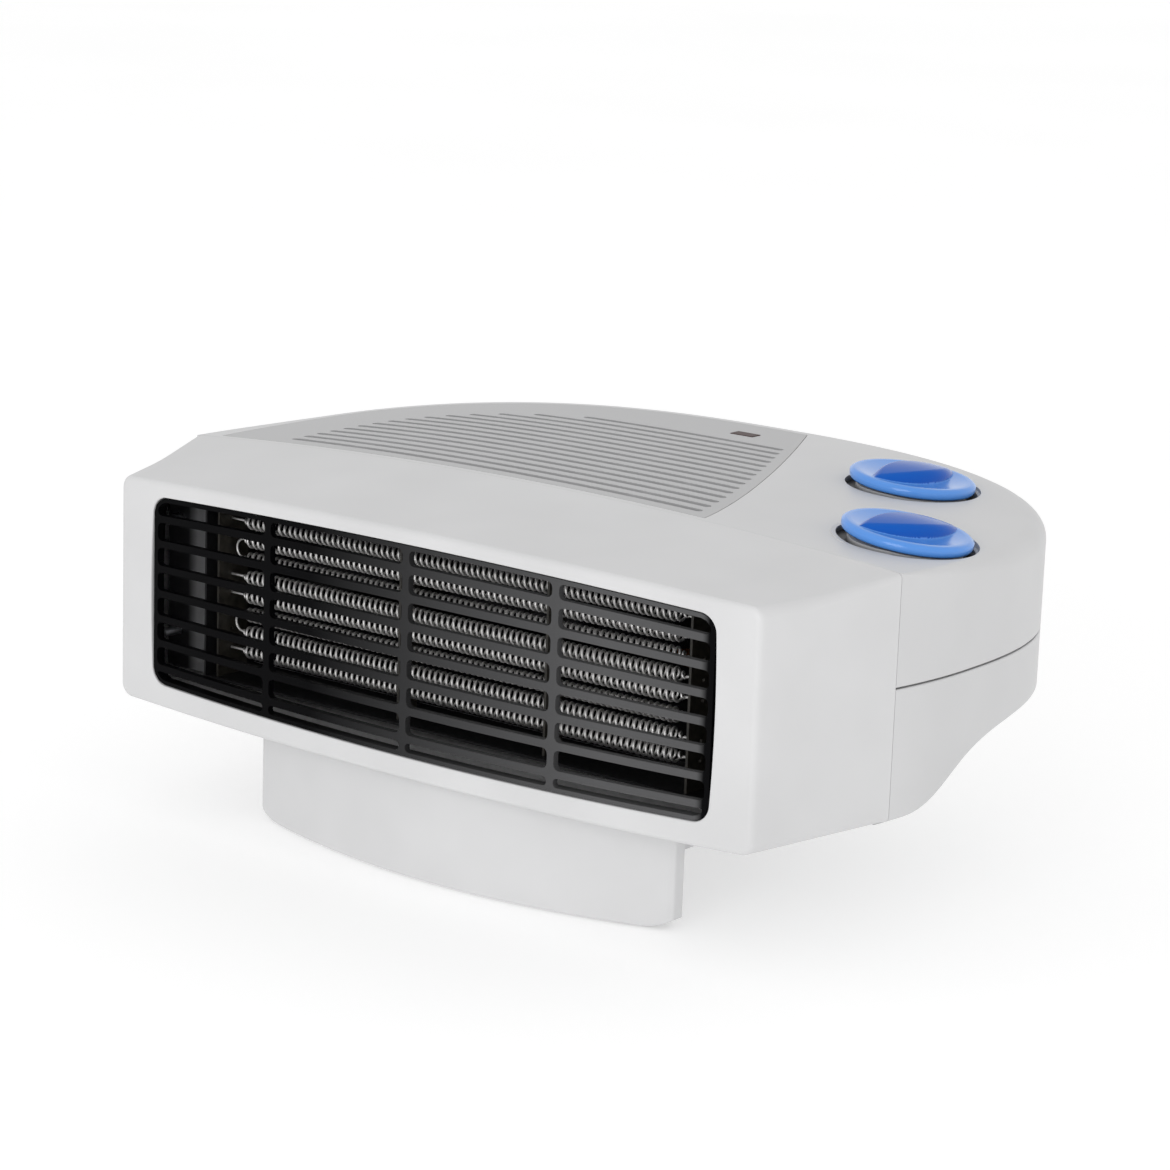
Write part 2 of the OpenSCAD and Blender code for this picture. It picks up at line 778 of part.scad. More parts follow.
module selector_switch() {
    body_r = 17;
    body_h = 16;
    placed()
        color([0.2, 0.2, 0.22])
            at_control(selector_at, selector_lean)
                difference() {
                    union() {
                        control_neck();
                        translate([0, 0, -seat_t - neck_gap - body_h])
                            cylinder(r = body_r, h = body_h, $fn = 96);
                        for (a = [45:90:315])
                            rotate([0, 0, a])
                                translate([body_r - 5, -tab_w / 2, -seat_t - body_h - 8])
                                    cube([tab_t, tab_w, 9]);
                    }
                    spindle_bore();
                    for (a = [0, 180])
                        rotate([0, 0, a])
                            translate([body_r - 3, -12, -seat_t - body_h - 1])
                                cube([5, 24, body_h - 3]);
                }
}

module thermostat() {
    body_r = 14;
    body_h = 15;
    arm_l = 30;
    placed()
        color([0.93, 0.92, 0.88])
            at_control(thermostat_at, thermostat_lean)
                difference() {
                    union() {
                        control_neck();
                        translate([0, 0, -seat_t - neck_gap - body_h])
                            cylinder(r = body_r, h = body_h, $fn = 96);
                        translate([0, -4, -seat_t - body_h + 1])
                            cube([arm_l, 8, 1.2]);
                        translate([0, -4, -seat_t - body_h + 6])
                            cube([arm_l, 8, 0.8]);
                        translate([arm_l - 6, 0, -seat_t - body_h + 2])
                            cylinder(r = 2.2, h = 4.2, $fn = 32);
                        for (x = [-9, 2])
                            translate([x, -tab_w / 2, -seat_t - body_h - 8])
                                cube([tab_t, tab_w, 9]);
                    }
                    spindle_bore();
                }
}

// Screws that hold the shells together, from below
front_screw_x = half_w - 20.3;
case_screws_at = [
    [front_screw_x, seam_y + 10], [-front_screw_x, seam_y + 10],
    [34.3 - half_w, case_depth - 57.8], [52, case_depth - 24.8]
];
column_r = 4.6;
screw_r = 1.5;
screw_gap = 0.05;
head_r = 3;
head_h = 2.2;
sink_z = 66;
boss_x = bezel_w / 2 - 7.5;
boss_xs = [-boss_x, boss_x];
boss_zs = [coil_z - 18, coil_z + 18];
boss_r = 3.4;
boss_web = 9;

module upper_housing() {
    low = joint_z + seam_gap / 2;
    placed()
        color(light_grey)
            difference() {
                union() {
                    difference() {
                        upper_form(0, low, 0, [0, 30, 60, 90], [0.8, 0.5, 0.25]);
                        upper_form(wall, low - 5, 8, [0, 45, 90], [0.8, 0.5, 0.25]);
                    }
                    for (p = case_screws_at)
                        translate([p[0], p[1], low])
                            cylinder(r = column_r, h = deck_z(p[0], p[1]) - wall / 2 - low, $fn = 48);
                    at_control(selector_at, selector_lean)
                        translate([0, 0, -seat_t])
                            cylinder(r = seat_r, h = seat_t + 3, $fn = 96);
                    at_control(thermostat_at, thermostat_lean)
                        translate([0, 0, -seat_t])
                            cylinder(r = seat_r, h = seat_t + 3, $fn = 96);
                }
                intake_prism(intake_fit);
                control_seat(selector_at, selector_lean);
                control_seat(thermostat_at, thermostat_lean);
                for (p = case_screws_at)
                    translate([p[0], p[1], low - 1])
                        cylinder(r = screw_r + screw_gap, h = 16, $fn = 32);
            }
}

// Flat round pocket under a knob, with the hole for the control's neck
module control_seat(at, lean) {
    at_control(at, lean) {
        cylinder(r = seat_r + 0.3, h = 8, $fn = 96);
        translate([0, 0, -seat_t - 1])
            cylinder(r = neck_r + neck_gap, h = seat_t + 2, $fn = 64);
    }
}

gland_x = 70;
gland_at = [gland_x, rear_y(gland_x) + 0.1, (joint_z + edge_rear_z) / 2];
gland_turn = -atan(rear_y(gland_x - 0.5) - rear_y(gland_x + 0.5));
gland_r = 5.5;
gland_bore_r = 3.5;
gland_fit = 0.2;
foot_screw_ys = [saddle_y0 + 8.4, foot_rear_y - 12];
foot_screws_at = [for (y = foot_screw_ys) for (side = [-1, 1]) [side * (foot_rear_half - 11), y]];
foot_boss_h = 5.6;
scroll_posts_at = [for (p = [[-46, 30], [48, 32], [-46, -32], [40, -32]]) fan_at + p];

module lower_housing() {
    high = joint_z - seam_gap / 2;
    placed()
        color(light_grey)
            difference() {
                union() {
                    difference() {
                        lower_form(0, high, 0);
                        lower_form(wall, high + 5, 8);
                    }
                    intersection() {
                        union() {
                            for (p = case_screws_at)
                                translate([p[0], p[1], case_bottom])
                                    cylinder(r = column_r, h = high - case_bottom, $fn = 48);
                            for (p = scroll_posts_at)
                                translate([p[0], p[1], case_bottom])
                                    cylinder(r = 4, h = scroll_floor_z - case_bottom, $fn = 48);
                            for (p = foot_screws_at)
                                translate([p[0], p[1], case_bottom])
                                    cylinder(r = column_r, h = wall + foot_boss_h, $fn = 48);
                        }
                        lower_form(wall / 2, high, 0);
                    }
                }
                for (p = case_screws_at) {
                    translate([p[0], p[1], case_bottom - 1])
                        cylinder(r = screw_r + screw_gap, h = high, $fn = 32);
                    translate([p[0], p[1], case_bottom - 1])
                        cylinder(r = head_r + 0.4, h = sink_z - case_bottom + 1, $fn = 48);
                }
                for (p = foot_screws_at)
                    translate([p[0], p[1], case_bottom - 1])
                        cylinder(r = screw_r + screw_gap, h = wall + foot_boss_h, $fn = 32);
                translate(gland_at)
                    rotate([-90, 0, gland_turn])
                        translate([0, 0, -12])
                            cylinder(r = gland_r + gland_fit, h = 24, $fn = 48);
            }
}

// Screw with a domed pan head below and its shank upwards, its head's seat at height 0
module screw(length) {
    cylinder(r = screw_r, h = length, $fn = 32);
    difference() {
        translate([0, 0, -head_h])
            cylinder(r = head_r, h = head_h, $fn = 48);
        for (a = [0, 90])
            rotate([0, 0, a])
                translate([-1.8, -0.4, -head_h - 1])
                    cube([3.6, 0.8, 2]);
    }
}

module case_screws() {
    placed()
        color(steel)
            for (p = case_screws_at)
                translate([p[0], p[1], sink_z])
                    screw(joint_z - sink_z + 12);
}

// Foot: a curved front wall that narrows to a waist and a round back

foot_end_t = 4.6;
foot_waist_y = 80;
foot_tail_r = 20;

// Half width of the foot at depth y, between its front ends and its waist
function foot_half(y) =
    foot_rear_half + (foot_w / 2 - foot_rear_half) * pow(1 - (y - foot_end_y - foot_end_t) / (foot_waist_y - foot_end_y - foot_end_t), 2);

function foot_outline(inset) =
    let (
        half = foot_w / 2,
        end0 = foot_end_y + foot_end_t - inset,
        front = [for (i = [0:16]) let (x = blend(-half + inset, half - inset, i / 16))
            [x, foot_end_y + inset - foot_bulge * (1 - pow(x / half, 2))]],
        side = [for (i = [0:6]) let (y = blend(foot_end_y + foot_end_t, foot_waist_y, i / 6)) [foot_half(y) - inset * (i == 0 ? 1 : 1.25), i == 0 ? end0 : y - inset * 0.6]],
        tail = [for (a = [0:15:90]) [foot_rear_half - foot_tail_r + (foot_tail_r - inset) * cos(a),
            foot_rear_y - foot_tail_r + (foot_tail_r - inset) * sin(a)]]
    )
    concat(front, side, tail,
        [for (i = [len(tail) - 1:-1:0]) [-tail[i][0], tail[i][1]]],
        [for (i = [len(side) - 1:-1:0]) [-side[i][0], side[i][1]]]);

front_pad_x = foot_w / 2 - 17.5;
rear_pad_x = foot_rear_half - 12;
pads_at = [
    [-front_pad_x, foot_end_y + 4.5], [front_pad_x, foot_end_y + 4.5],
    [-rear_pad_x, foot_rear_y - 18], [rear_pad_x, foot_rear_y - 18]
];
foot_corner_r = 20;
foot_corner_run = 10;
pad_seat_h = 1.2;

// Front view of the foot, stretched through its depth: the lower corners curve up a little
module foot_sweep() {
    corner_x = foot_w / 2 - foot_corner_run;
    along_y(0, foot_rear_y + 1) {
        for (side = [-1, 1])
            translate([side * corner_x, pad_rise + foot_corner_r])
                circle(r = foot_corner_r, $fn = 96);
        translate([-corner_x, pad_rise])
            square([2 * corner_x, foot_top_z]);
        translate([-foot_w / 2, pad_rise + foot_corner_r])
            square([foot_w, foot_top_z]);
    }
}

module foot() {
    placed()
        color([0.9, 0.9, 0.9])
            difference() {
                union() {
                    difference() {
                        intersection() {
                            translate([0, 0, pad_rise])
                                linear_extrude(height = foot_top_z - pad_rise)
                                    polygon(foot_outline(0));
                            foot_sweep();
                        }
                        translate([0, 0, -1])
                            linear_extrude(height = foot_top_z - wall + 1)
                                polygon(foot_outline(wall));
                    }
                    translate([-foot_rear_half + 4, saddle_y0, foot_top_z - wall])
                        cube([2 * foot_rear_half - 8, foot_rear_y - foot_tail_r - saddle_y0, case_bottom - foot_top_z + wall]);
                    translate([0, foot_rear_y - foot_tail_r, foot_top_z - wall])
                        linear_extrude(height = case_bottom - foot_top_z + wall)
                            intersection() {
                                square([2 * foot_rear_half - 8, 2 * foot_tail_r - 12], center = true);
                                circle(r = foot_rear_half - 4, $fn = 96);
                            }
                    for (p = pads_at)
                        translate([p[0], p[1], pad_rise + pad_seat_h])
                            cylinder(r = pad_d / 2 + 1, h = foot_top_z - pad_rise - pad_seat_h - 1, $fn = 48);
                    for (p = foot_screws_at)
                        translate([p[0], p[1], foot_top_z - 12])
                            cylinder(r = column_r + 1, h = 12, $fn = 48);
                }
                for (p = foot_screws_at) {
                    translate([p[0], p[1], 0])
                        cylinder(r = screw_r + screw_gap, h = case_bottom + 1, $fn = 32);
                    translate([p[0], p[1], 0])
                        cylinder(r = head_r + 0.4, h = foot_top_z - 4, $fn = 48);
                }
            }
}

module foot_screws() {
    placed()
        color(steel)
            for (p = foot_screws_at)
                translate([p[0], p[1], foot_top_z - 4])
                    screw(case_bottom - foot_top_z + 4 + foot_boss_h);
}

module rubber_pads() {
    placed()
        color([0.12, 0.12, 0.12])
            for (p = pads_at)
                translate([p[0], p[1], 0])
                    cylinder(r = pad_d / 2, h = pad_rise + pad_seat_h, $fn = 48);
}

// Heating element: a steel frame with mica plates that carry two wire circuits

frame_half_h = 30;
frame_half = coil_len / 2 + 13;
frame_low = coil_z - frame_half_h;
frame_high = coil_z + frame_half_h;
frame_t = 0.8;
frame_front = coil_y - 7;
frame_back = coil_y + 15;
flange_half = boss_x + 4.5;
plate_x = coil_len / 2 + 5.2;
coil_mid = bar_mid_x;
card_xs = [bar_mid_x - 18, bar_mid_x + bar_pitch - 17];
mica_t = 0.8;
row_zs = [for (i = [0:2 * coil_rows - 1]) coil_z + coil_pitch * (coil_rows - 0.5 - i)];

module element_frame() {
    placed()
        color(steel)
            difference() {
                union() {
                    along_y(frame_front, frame_back)
                        difference() {
                            translate([-frame_half, frame_low])
                                square([2 * frame_half, frame_high - frame_low]);
                            translate([-frame_half + frame_t, frame_low + frame_t])
                                square([2 * (frame_half - frame_t), frame_high - frame_low - 2 * frame_t]);
                        }
                    for (side = [-1, 1])
                        along_y(flange_y, flange_y + frame_t)
                            translate([side > 0 ? frame_half - frame_t : -flange_half, frame_low])
                                square([flange_half - frame_half + frame_t, frame_high - frame_low]);
                }
                for (x = boss_xs)
                    for (z = boss_zs)
                        along_y(flange_y - 1, flange_y + 2)
                            translate([x, z])
                                circle(r = screw_r + 0.2, $fn = 32);
            }
}

// Mica plate across the air stream's depth, with a round window for each coil row
module mica_plate(x, y0, y1, window_r) {
    along_x(x - mica_t / 2, x + mica_t / 2)
        difference() {
            translate([y0, frame_low + frame_t])
                square([y1 - y0, frame_high - frame_low - 2 * frame_t]);
            for (z = row_zs)
                translate([coil_y, z])
                    circle(r = window_r, $fn = 32);
        }
}

module mica_end_plates() {
    placed()
        color([0.72, 0.66, 0.5])
            for (side = [-1, 1])
                mica_plate(coil_mid + side * plate_x, frame_front + 1, frame_back - 8, coil_wire / 2 + 0.15);
}

module mica_cards() {
    placed()
        color([0.72, 0.66, 0.5])
            for (x = card_xs)
                mica_plate(x, coil_y - 4.2, coil_y + 4.2, coil_d / 2 + 0.2);
}

// Wire path of one circuit: a helix along each row, with a round bend to the next row

rings_per_curl = 8;
helix_r = (coil_d - coil_wire) / 2;
taper_rings = 6;
function row_point(i, n, z, way) =
    let (
        r = helix_r * min(1, i / taper_rings, (n - i) / taper_rings),
        a = way * 360 * i / rings_per_curl
    )
    [way * (-coil_len / 2 + coil_len * i / n), coil_y + r * cos(a), z + r * sin(a)];

function bend_points(x, z, way) =
    [for (a = [72:-36:-72]) [x + way * coil_pitch / 2 * cos(a), coil_y, z - coil_pitch / 2 + coil_pitch / 2 * sin(a)]];

function circuit_path(first_row) =
    let (n = rings_per_curl * curls, end_x = plate_x + mica_t / 2 + 1.6)
    concat(
        [[-end_x, coil_y, row_zs[first_row]]],
        [
            for (r = [0:coil_rows - 1])
                let (way = r % 2 == 0 ? 1 : -1, z = row_zs[first_row + r])
                each concat(
                    [for (i = [0:n]) row_point(i, n, z, way)],
                    r < coil_rows - 1 ? bend_points(way * coil_len / 2, z, way) : []
                )
        ],
        [[(coil_rows % 2 == 0 ? -1 : 1) * end_x, coil_y, row_zs[first_row + coil_rows - 1]]]
    );

function unit(v) = v / norm(v);
function tangent(p, i) = unit(p[min(i + 1, len(p) - 1)] - p[max(i - 1, 0)]);
function across(n, t) = unit(n - (n * t) * t);

// Sides of the tube carried along the path without twisting
function carried(p) = [
    for (i = 0, n = across([0, 1, 0], tangent(p, 0)); i < len(p);
        i = i + 1, n = i < len(p) ? across(n, tangent(p, i)) : n) n
];

module wire_tube(path, r, sides) {
    normals = carried(path);
    rings = [
        for (i = [0:len(path) - 1])
            let (t = tangent(path, i), n = normals[i], b = cross(t, n))
            [for (s = [0:sides - 1]) path[i] + r * (cos(360 * s / sides) * n + sin(360 * s / sides) * b)]
    ];
    loft([for (g = rings) [for (s = [sides - 1:-1:0]) g[s]]], path[0], path[len(path) - 1]);
}

// Least gap between two stretches of one circuit that are at least half a curl apart
function least_gap(p) = min([
    for (i = [0:len(p) - 1])
        for (j = [i + rings_per_curl / 2:1:len(p) - 1])
            norm(p[i] - p[j])
]) - coil_wire;

module heating_coil(first_row) {
    path = circuit_path(first_row);
    echo(str("least gap of the coil to itself ", least_gap(path)));
    placed()
        color([0.75, 0.7, 0.65])
            translate([coil_mid, 0, 0])
                wire_tube(path, coil_wire / 2, 6);
}

module upper_heating_coil() {
    heating_coil(0);
}

module lower_heating_coil() {
    heating_coil(coil_rows);
}

module thermal_cutout() {
    z = frame_high - frame_t;
    placed()
        color([0.25, 0.22, 0.2])
            translate([0, frame_back - 7.5, z]) {
                translate([0, 0, -4.6])
                    cylinder(r = 6.5, h = 4.6, $fn = 64);
                for (side = [-1, 1])
                    translate([side * 9 - 3, -tab_w / 2, -3])
                        cube([6, tab_w, tab_t]);
            }
}

module thermal_fuse() {
    fuse_r = 2;
    placed()
        color([0.85, 0.85, 0.85])
            translate([card_xs[1] + 6, frame_back - 6, frame_high - frame_t - fuse_r - 0.1])
                rotate([0, 90, 0]) {
                    cylinder(r = fuse_r, h = 11, $fn = 32);
                    translate([0, 0, -9])
                        cylinder(r = 0.5, h = 29, $fn = 16);
                }
}

// Fan: scroll, impeller and shaded pole motor

scroll_wall = 1.6;
scroll_high = impeller_low + impeller_h + 4.1;
duct_low = frame_low + 1;
duct_y = frame_back + seam_gap;
duct_flare = 17.7;
ramp_y = fan_at[1] - 40;
scroll_start = -45;
scroll_sweep = 260;
scroll_r0 = impeller_d / 2 + 4;
scroll_r1 = impeller_d / 2 + 17;

// Plan outline of the scroll and its flared outlet, moved inwards by inset
function scroll_outline(inset) = concat(
    [for (i = [0:26])
        let (a = scroll_start + scroll_sweep * i / 26, r = blend(scroll_r0, scroll_r1, i / 26) - inset)
        [fan_at[0] + r * cos(a), fan_at[1] + r * sin(a)]],
    [
        [-frame_half + inset, duct_y + duct_flare + 6],
        [-frame_half + inset, duct_y],
        [frame_half - inset, duct_y],
        [frame_half - inset, duct_y + duct_flare]
    ]
);

module scroll_prism(inset, z0, z1) {
    translate([0, 0, z0])
        linear_extrude(height = z1 - z0)
            polygon(scroll_outline(inset));
}

module fan_scroll() {
    placed()
        color([0.35, 0.35, 0.37])
            difference() {
                union() {
                    difference() {
                        union() {
                            scroll_prism(0, scroll_floor_z, scroll_high);
                            intersection() {
                                scroll_prism(0, duct_low, frame_high);
                                translate([-half_w, 0, 0])
                                    cube([case_w, ramp_y - 14, case_top]);
                            }
                        }
                        translate([0, 0, scroll_t])
                            scroll_prism(scroll_wall, scroll_floor_z, case_top);
                        intersection() {
                            scroll_prism(scroll_wall, 0, case_top);
                            translate([-half_w, 0, 0])
                                cube([case_w, ramp_y - 14, case_top]);
                        }
                    }
                    intersection() {
                        scroll_prism(0, 0, case_top);
                        along_x(-half_w, half_w)
                            polygon([
                                [duct_y, duct_low], [ramp_y, scroll_floor_z],
                                [ramp_y, scroll_floor_z + scroll_t], [duct_y, duct_low + scroll_t]
                            ]);
                    }
                    for (p = motor_screws_at)
                        translate([fan_at[0] + p[0], fan_at[1] + p[1], stack_high])
                            cylinder(r = 3.2, h = scroll_floor_z - stack_high + 0.5, $fn = 32);
                }
                translate([fan_at[0], fan_at[1], 0])
                    cylinder(r = 5.5, h = scroll_floor_z + 10, $fn = 48);
                for (p = motor_screws_at)
                    translate([fan_at[0] + p[0], fan_at[1] + p[1], stack_high - 1])
                        cylinder(r = screw_r + screw_gap, h = 7, $fn = 32);
            }
}

module scroll_cover() {
    mouth_r = impeller_d / 2 - 8;
    step_y = ramp_y - 14;
    placed()
        color([0.35, 0.35, 0.37])
            difference() {
                union() {
                    intersection() {
                        scroll_prism(0, 0, case_top);
                        along_x(-half_w, half_w)
                            polygon([
                                [duct_y, frame_high], [step_y, frame_high], [step_y, scroll_high],
                                [case_depth, scroll_high], [case_depth, scroll_high + scroll_t],
                                [step_y + scroll_t, scroll_high + scroll_t],
                                [step_y + scroll_t, frame_high + scroll_t], [duct_y, frame_high + scroll_t]
                            ]);
                    }
                    translate([fan_at[0], fan_at[1], scroll_high])
                        cylinder(r = mouth_r + 2, h = scroll_t + 2, $fn = 128);
                }
                translate([fan_at[0], fan_at[1], scroll_high])
                    rotate_extrude($fn = 128)
                        polygon([
                            [0, -1], [mouth_r, -1], [mouth_r, 1], [mouth_r + 0.5, 2.4],
                            [mouth_r + 1.4, 4], [0, 4]
                        ]);
            }
}

blade_l = 12;
blade_t = 1.2;

// One forward curved blade as a strip of a circle
module blade_shape() {
    curve_r = 13;
    difference() {
        circle(r = curve_r, $fn = 96);
        circle(r = curve_r - blade_t, $fn = 96);
        translate([-curve_r - 1, -curve_r * 2])
            square([2 * curve_r + 2, curve_r * 2]);
        rotate([0, 0, 62])
            translate([-2 * curve_r, -1])
                square([2 * curve_r, 2 * curve_r]);
    }
}

module impeller() {
    r = impeller_d / 2;
    plate_t = 1.8;
    hub_r = 8;
    placed()
        color([0.15, 0.15, 0.16])
            translate([fan_at[0], fan_at[1], impeller_low])
                difference() {
                    union() {
                        cylinder(r = r, h = plate_t, $fn = 128);
                        cylinder(r1 = hub_r + 3, r2 = hub_r, h = 16, $fn = 64);
                        for (i = [0:blades - 1])
                            rotate([0, 0, 360 * i / blades])
                                intersection() {
                                    translate([r - 12.6, -6, plate_t - 0.5])
                                        linear_extrude(height = impeller_h - plate_t)
                                            blade_shape();
                                    cylinder(r = r - 0.5, h = impeller_h, $fn = 128);
                                }
                        translate([0, 0, impeller_h - 3])
                            difference() {
                                cylinder(r = r, h = 3, $fn = 128);
                                translate([0, 0, -1])
                                    cylinder(r = r - 2.2, h = 5, $fn = 128);
                            }
                    }
                    translate([0, 0, -1])
                        cylinder(r = shaft_r + bore_gap, h = 18.5, $fn = 48);
                }
}

stack_low = case_bottom + 8.6;
stack_high = stack_low + 10;
rotor_r = 9.6;
stator_bore_r = 10;
motor_screws_at = [[-15, -15], [-15, 15], [31.5, -15.5], [31.5, 15.5]];

module motor_rotor() {
    shaft_low = stack_low - 4;
    placed()
        color(steel)
            translate([fan_at[0], fan_at[1], 0]) {
                translate([0, 0, shaft_low])
                    cylinder(r = shaft_r, h = impeller_low + 16 - shaft_low, $fn = 48);
                translate([0, 0, stack_low])
                    cylinder(r = rotor_r, h = stack_high - stack_low, $fn = 64);
            }
}

stator_x0 = -20;
stator_x1 = 36;
stator_half = 20;
leg_x = 27;

module motor_stator() {
    placed()
        color([0.45, 0.46, 0.48])
            translate([fan_at[0], fan_at[1], stack_low])
                linear_extrude(height = stack_high - stack_low)
                    difference() {
                        translate([stator_x0, -stator_half])
                            square([stator_x1 - stator_x0, 2 * stator_half]);
                        circle(r = stator_bore_r, $fn = 96);
                        translate([14, -11])
                            square([leg_x - 14, 22]);
                        for (a = [55, 235])
                            rotate([0, 0, a])
                                translate([stator_bore_r - 1, -1])
                                    square([5, 2]);
                        for (p = motor_screws_at)
                            translate(p)
                                circle(r = screw_r + 0.2, $fn = 32);
                    }
}

module motor_winding() {
    gap = 0.2;
    placed()
        color([0.7, 0.4, 0.15])
            translate([fan_at[0], fan_at[1], (stack_low + stack_high) / 2])
                difference() {
                    union() {
                        for (y = [-10.6, 9.4])
                            translate([15.2, y, -10])
                                cube([33, 1.2, 20]);
                        translate([16.4, -9.5, -9])
                            cube([30.6, 19, 18]);
                    }
                    translate([leg_x - gap, -20, (stack_low - stack_high) / 2 - gap])
                        cube([stator_x1 - leg_x + 2 * gap, 40, stack_high - stack_low + 2 * gap]);
                }
}

bearing_r = 4.6;
bridge_t = 1.5;

// Bearing bridge over the rotor, its feet on the stack and its boss round the shaft
module bearing_bridge() {
    difference() {
        union() {
            translate([-4, -stator_half + 1, 1.4])
                cube([8, 2 * stator_half - 2, bridge_t]);
            for (side = [-1, 1])
                translate([-4, side > 0 ? stator_half - 6 : -stator_half + 1, 0])
                    cube([8, 5, 1.6]);
            translate([0, 0, 0.5])
                cylinder(r = bearing_r, h = 3.4, $fn = 48);
        }
        translate([0, 0, -1])
            cylinder(r = shaft_r + run_gap, h = 8, $fn = 48);
    }
}

module motor_bearings() {
    placed()
        color([0.6, 0.6, 0.62])
            translate([fan_at[0], fan_at[1], 0]) {
                translate([0, 0, stack_high])
                    bearing_bridge();
                translate([0, 0, stack_low])
                    mirror([0, 0, 1])
                        bearing_bridge();
            }
}

module motor_screws() {
    placed()
        color(steel) {
            for (p = motor_screws_at)
                translate([fan_at[0] + p[0], fan_at[1] + p[1], stack_low])
                    screw(stack_high - stack_low + 5);
            for (x = boss_xs)
                for (z = boss_zs)
                    translate([x, flange_y + frame_t, z])
                        rotate([90, 0, 0])
                            screw(8);
        }
}

module cord_gland() {
    placed()
        color([0.2, 0.2, 0.2])
            translate(gland_at)
                rotate([-90, 0, gland_turn])
                    difference() {
                        union() {
                            translate([0, 0, -8])
                                cylinder(r = gland_r, h = 12, $fn = 64);
                            translate([0, 0, 0.5])
                                cylinder(r1 = gland_r + 2.4, r2 = gland_r + 1.4, h = 4.4, $fn = 64);
                        }
                        translate([0, 0, -9])
                            cylinder(r = gland_bore_r, h = 20, $fn = 48);
                    }
}

terminal_poles = 3;
module terminal_block() {
    pole_w = 9;
    placed()
        color([0.92, 0.92, 0.9])
            translate([half_w - 82.3, seam_y + 46, floor_z])
                difference() {
                    union() {
                        cube([terminal_poles * pole_w + 3, 16, 4]);
                        for (i = [0:terminal_poles - 1])
                            translate([i * pole_w + 2, 2, 3.5])
                                cube([pole_w - 1.2, 12, 8]);
                    }
                    for (i = [0:terminal_poles - 1])
                        for (y = [5, 11])
                            translate([(i + 0.5) * pole_w + 1.5, y, 6])
                                cylinder(r = 1.6, h = 8, $fn = 32);
                }
}

front_housing();
upper_housing();
lower_housing();
front_grille();
intake_grille();
foot();
rubber_pads();
pilot_lamp_lens();
pilot_lamp();
selector_knob();
selector_spindle();
selector_switch();
thermostat_knob();
thermostat_spindle();
thermostat();
element_frame();
mica_end_plates();
mica_cards();
upper_heating_coil();
lower_heating_coil();
thermal_cutout();
thermal_fuse();
fan_scroll();
scroll_cover();
impeller();
motor_rotor();
motor_stator();
motor_winding();
motor_bearings();
motor_screws();
cord_gland();
terminal_block();
case_screws();
foot_screws();
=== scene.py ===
"""Flat fan heater: smooth mouldings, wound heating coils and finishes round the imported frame."""
import math

import bmesh
import bpy
import numpy as np
from mathutils import Matrix, Vector


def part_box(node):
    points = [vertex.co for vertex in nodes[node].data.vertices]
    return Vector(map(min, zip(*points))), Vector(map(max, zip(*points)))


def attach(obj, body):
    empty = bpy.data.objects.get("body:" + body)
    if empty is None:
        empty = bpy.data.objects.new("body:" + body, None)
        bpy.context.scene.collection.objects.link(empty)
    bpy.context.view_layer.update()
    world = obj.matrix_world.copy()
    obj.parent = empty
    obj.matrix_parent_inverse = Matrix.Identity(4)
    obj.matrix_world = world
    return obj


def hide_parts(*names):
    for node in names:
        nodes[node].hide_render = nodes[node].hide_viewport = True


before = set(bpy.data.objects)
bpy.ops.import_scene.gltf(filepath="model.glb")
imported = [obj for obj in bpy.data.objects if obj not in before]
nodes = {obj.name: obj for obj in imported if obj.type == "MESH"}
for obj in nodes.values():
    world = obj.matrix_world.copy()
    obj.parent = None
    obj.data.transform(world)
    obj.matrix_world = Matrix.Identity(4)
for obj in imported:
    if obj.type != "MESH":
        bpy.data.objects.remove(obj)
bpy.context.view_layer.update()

MM = 0.001

# Sizes of the case, in millimetres, with depths measured back from the corners of the bezel
CASE_W = 276.6
RIDGE_W = 270.0
CASE_DEPTH = 189.8
WIDEST_Y = 79.7
SEAM_Y = 48.0
CASE_TOP = 116.0
RIDGE_CROWN = 4.7
DECK_CROWN = 5.7
RIDGE_BOW = 2.6
DECK_FALL = 1.0
SHOULDER_R = 6.7
RIDGE_EDGE_R = 0.5
JOINT_Z = 78.2
WALL = 2.5
JOINT_GAP = 0.6
CASE_BOTTOM = 37.4
EDGE_FRONT_Z = 39.4
EDGE_REAR_Z = 60.0
SCOOP_MID = 30.0
SCOOP_SLOPE = 1.9
SCOOP_POWER = 3.3
REAR_POWER = 2.65
CROWN_POWER = 2.5
CROWN_RUN = 58.0
BEZEL_W = 242.0
BEZEL_BOTTOM = 36.6
BEZEL_TOP = 107.1
BEZEL_SAG = 2.6
BEZEL_RISE = 2.2
FACE_BULGE = 2.6
BEZEL_CORNER_R = 4.0
SEAM_CORNER_R = 1.5
LEAST_CORNER_R = 0.3
CORNER_SHRINK = 0.4
BEZEL_T = 2.6
SLOPE_Y = 22.0
SLOPE_HOLLOW = 1.0
SLOPE_EASE = 0.12
SLOPE_EASE_RUN = 0.05
OPENING_W = 213.0
OPENING_BOTTOM = 43.4
OPENING_TOP = 102.6
OPENING_CORNER_R = 5.0
OPENING_SIDE_BOW = 1.0
MID_Y = (CASE_DEPTH - FACE_BULGE) / 2
HALF_W = CASE_W / 2
RIDGE_HALF = RIDGE_W / 2
DECK_MID_Y = 112.0

# How far cutters reach past what they cut, and how far the insides reach ahead of the seam
PAST = 5.0
INSIDE_AHEAD = 8.0


# Camera at the photograph's place and angle

CAMERA_AT = (646.58, -767.02, 332.57)
CAMERA_AZIMUTH = 37.36
CAMERA_ELEVATION = 13.36
CAMERA_ROLL = 2.02
CAMERA_LENS = 109.09


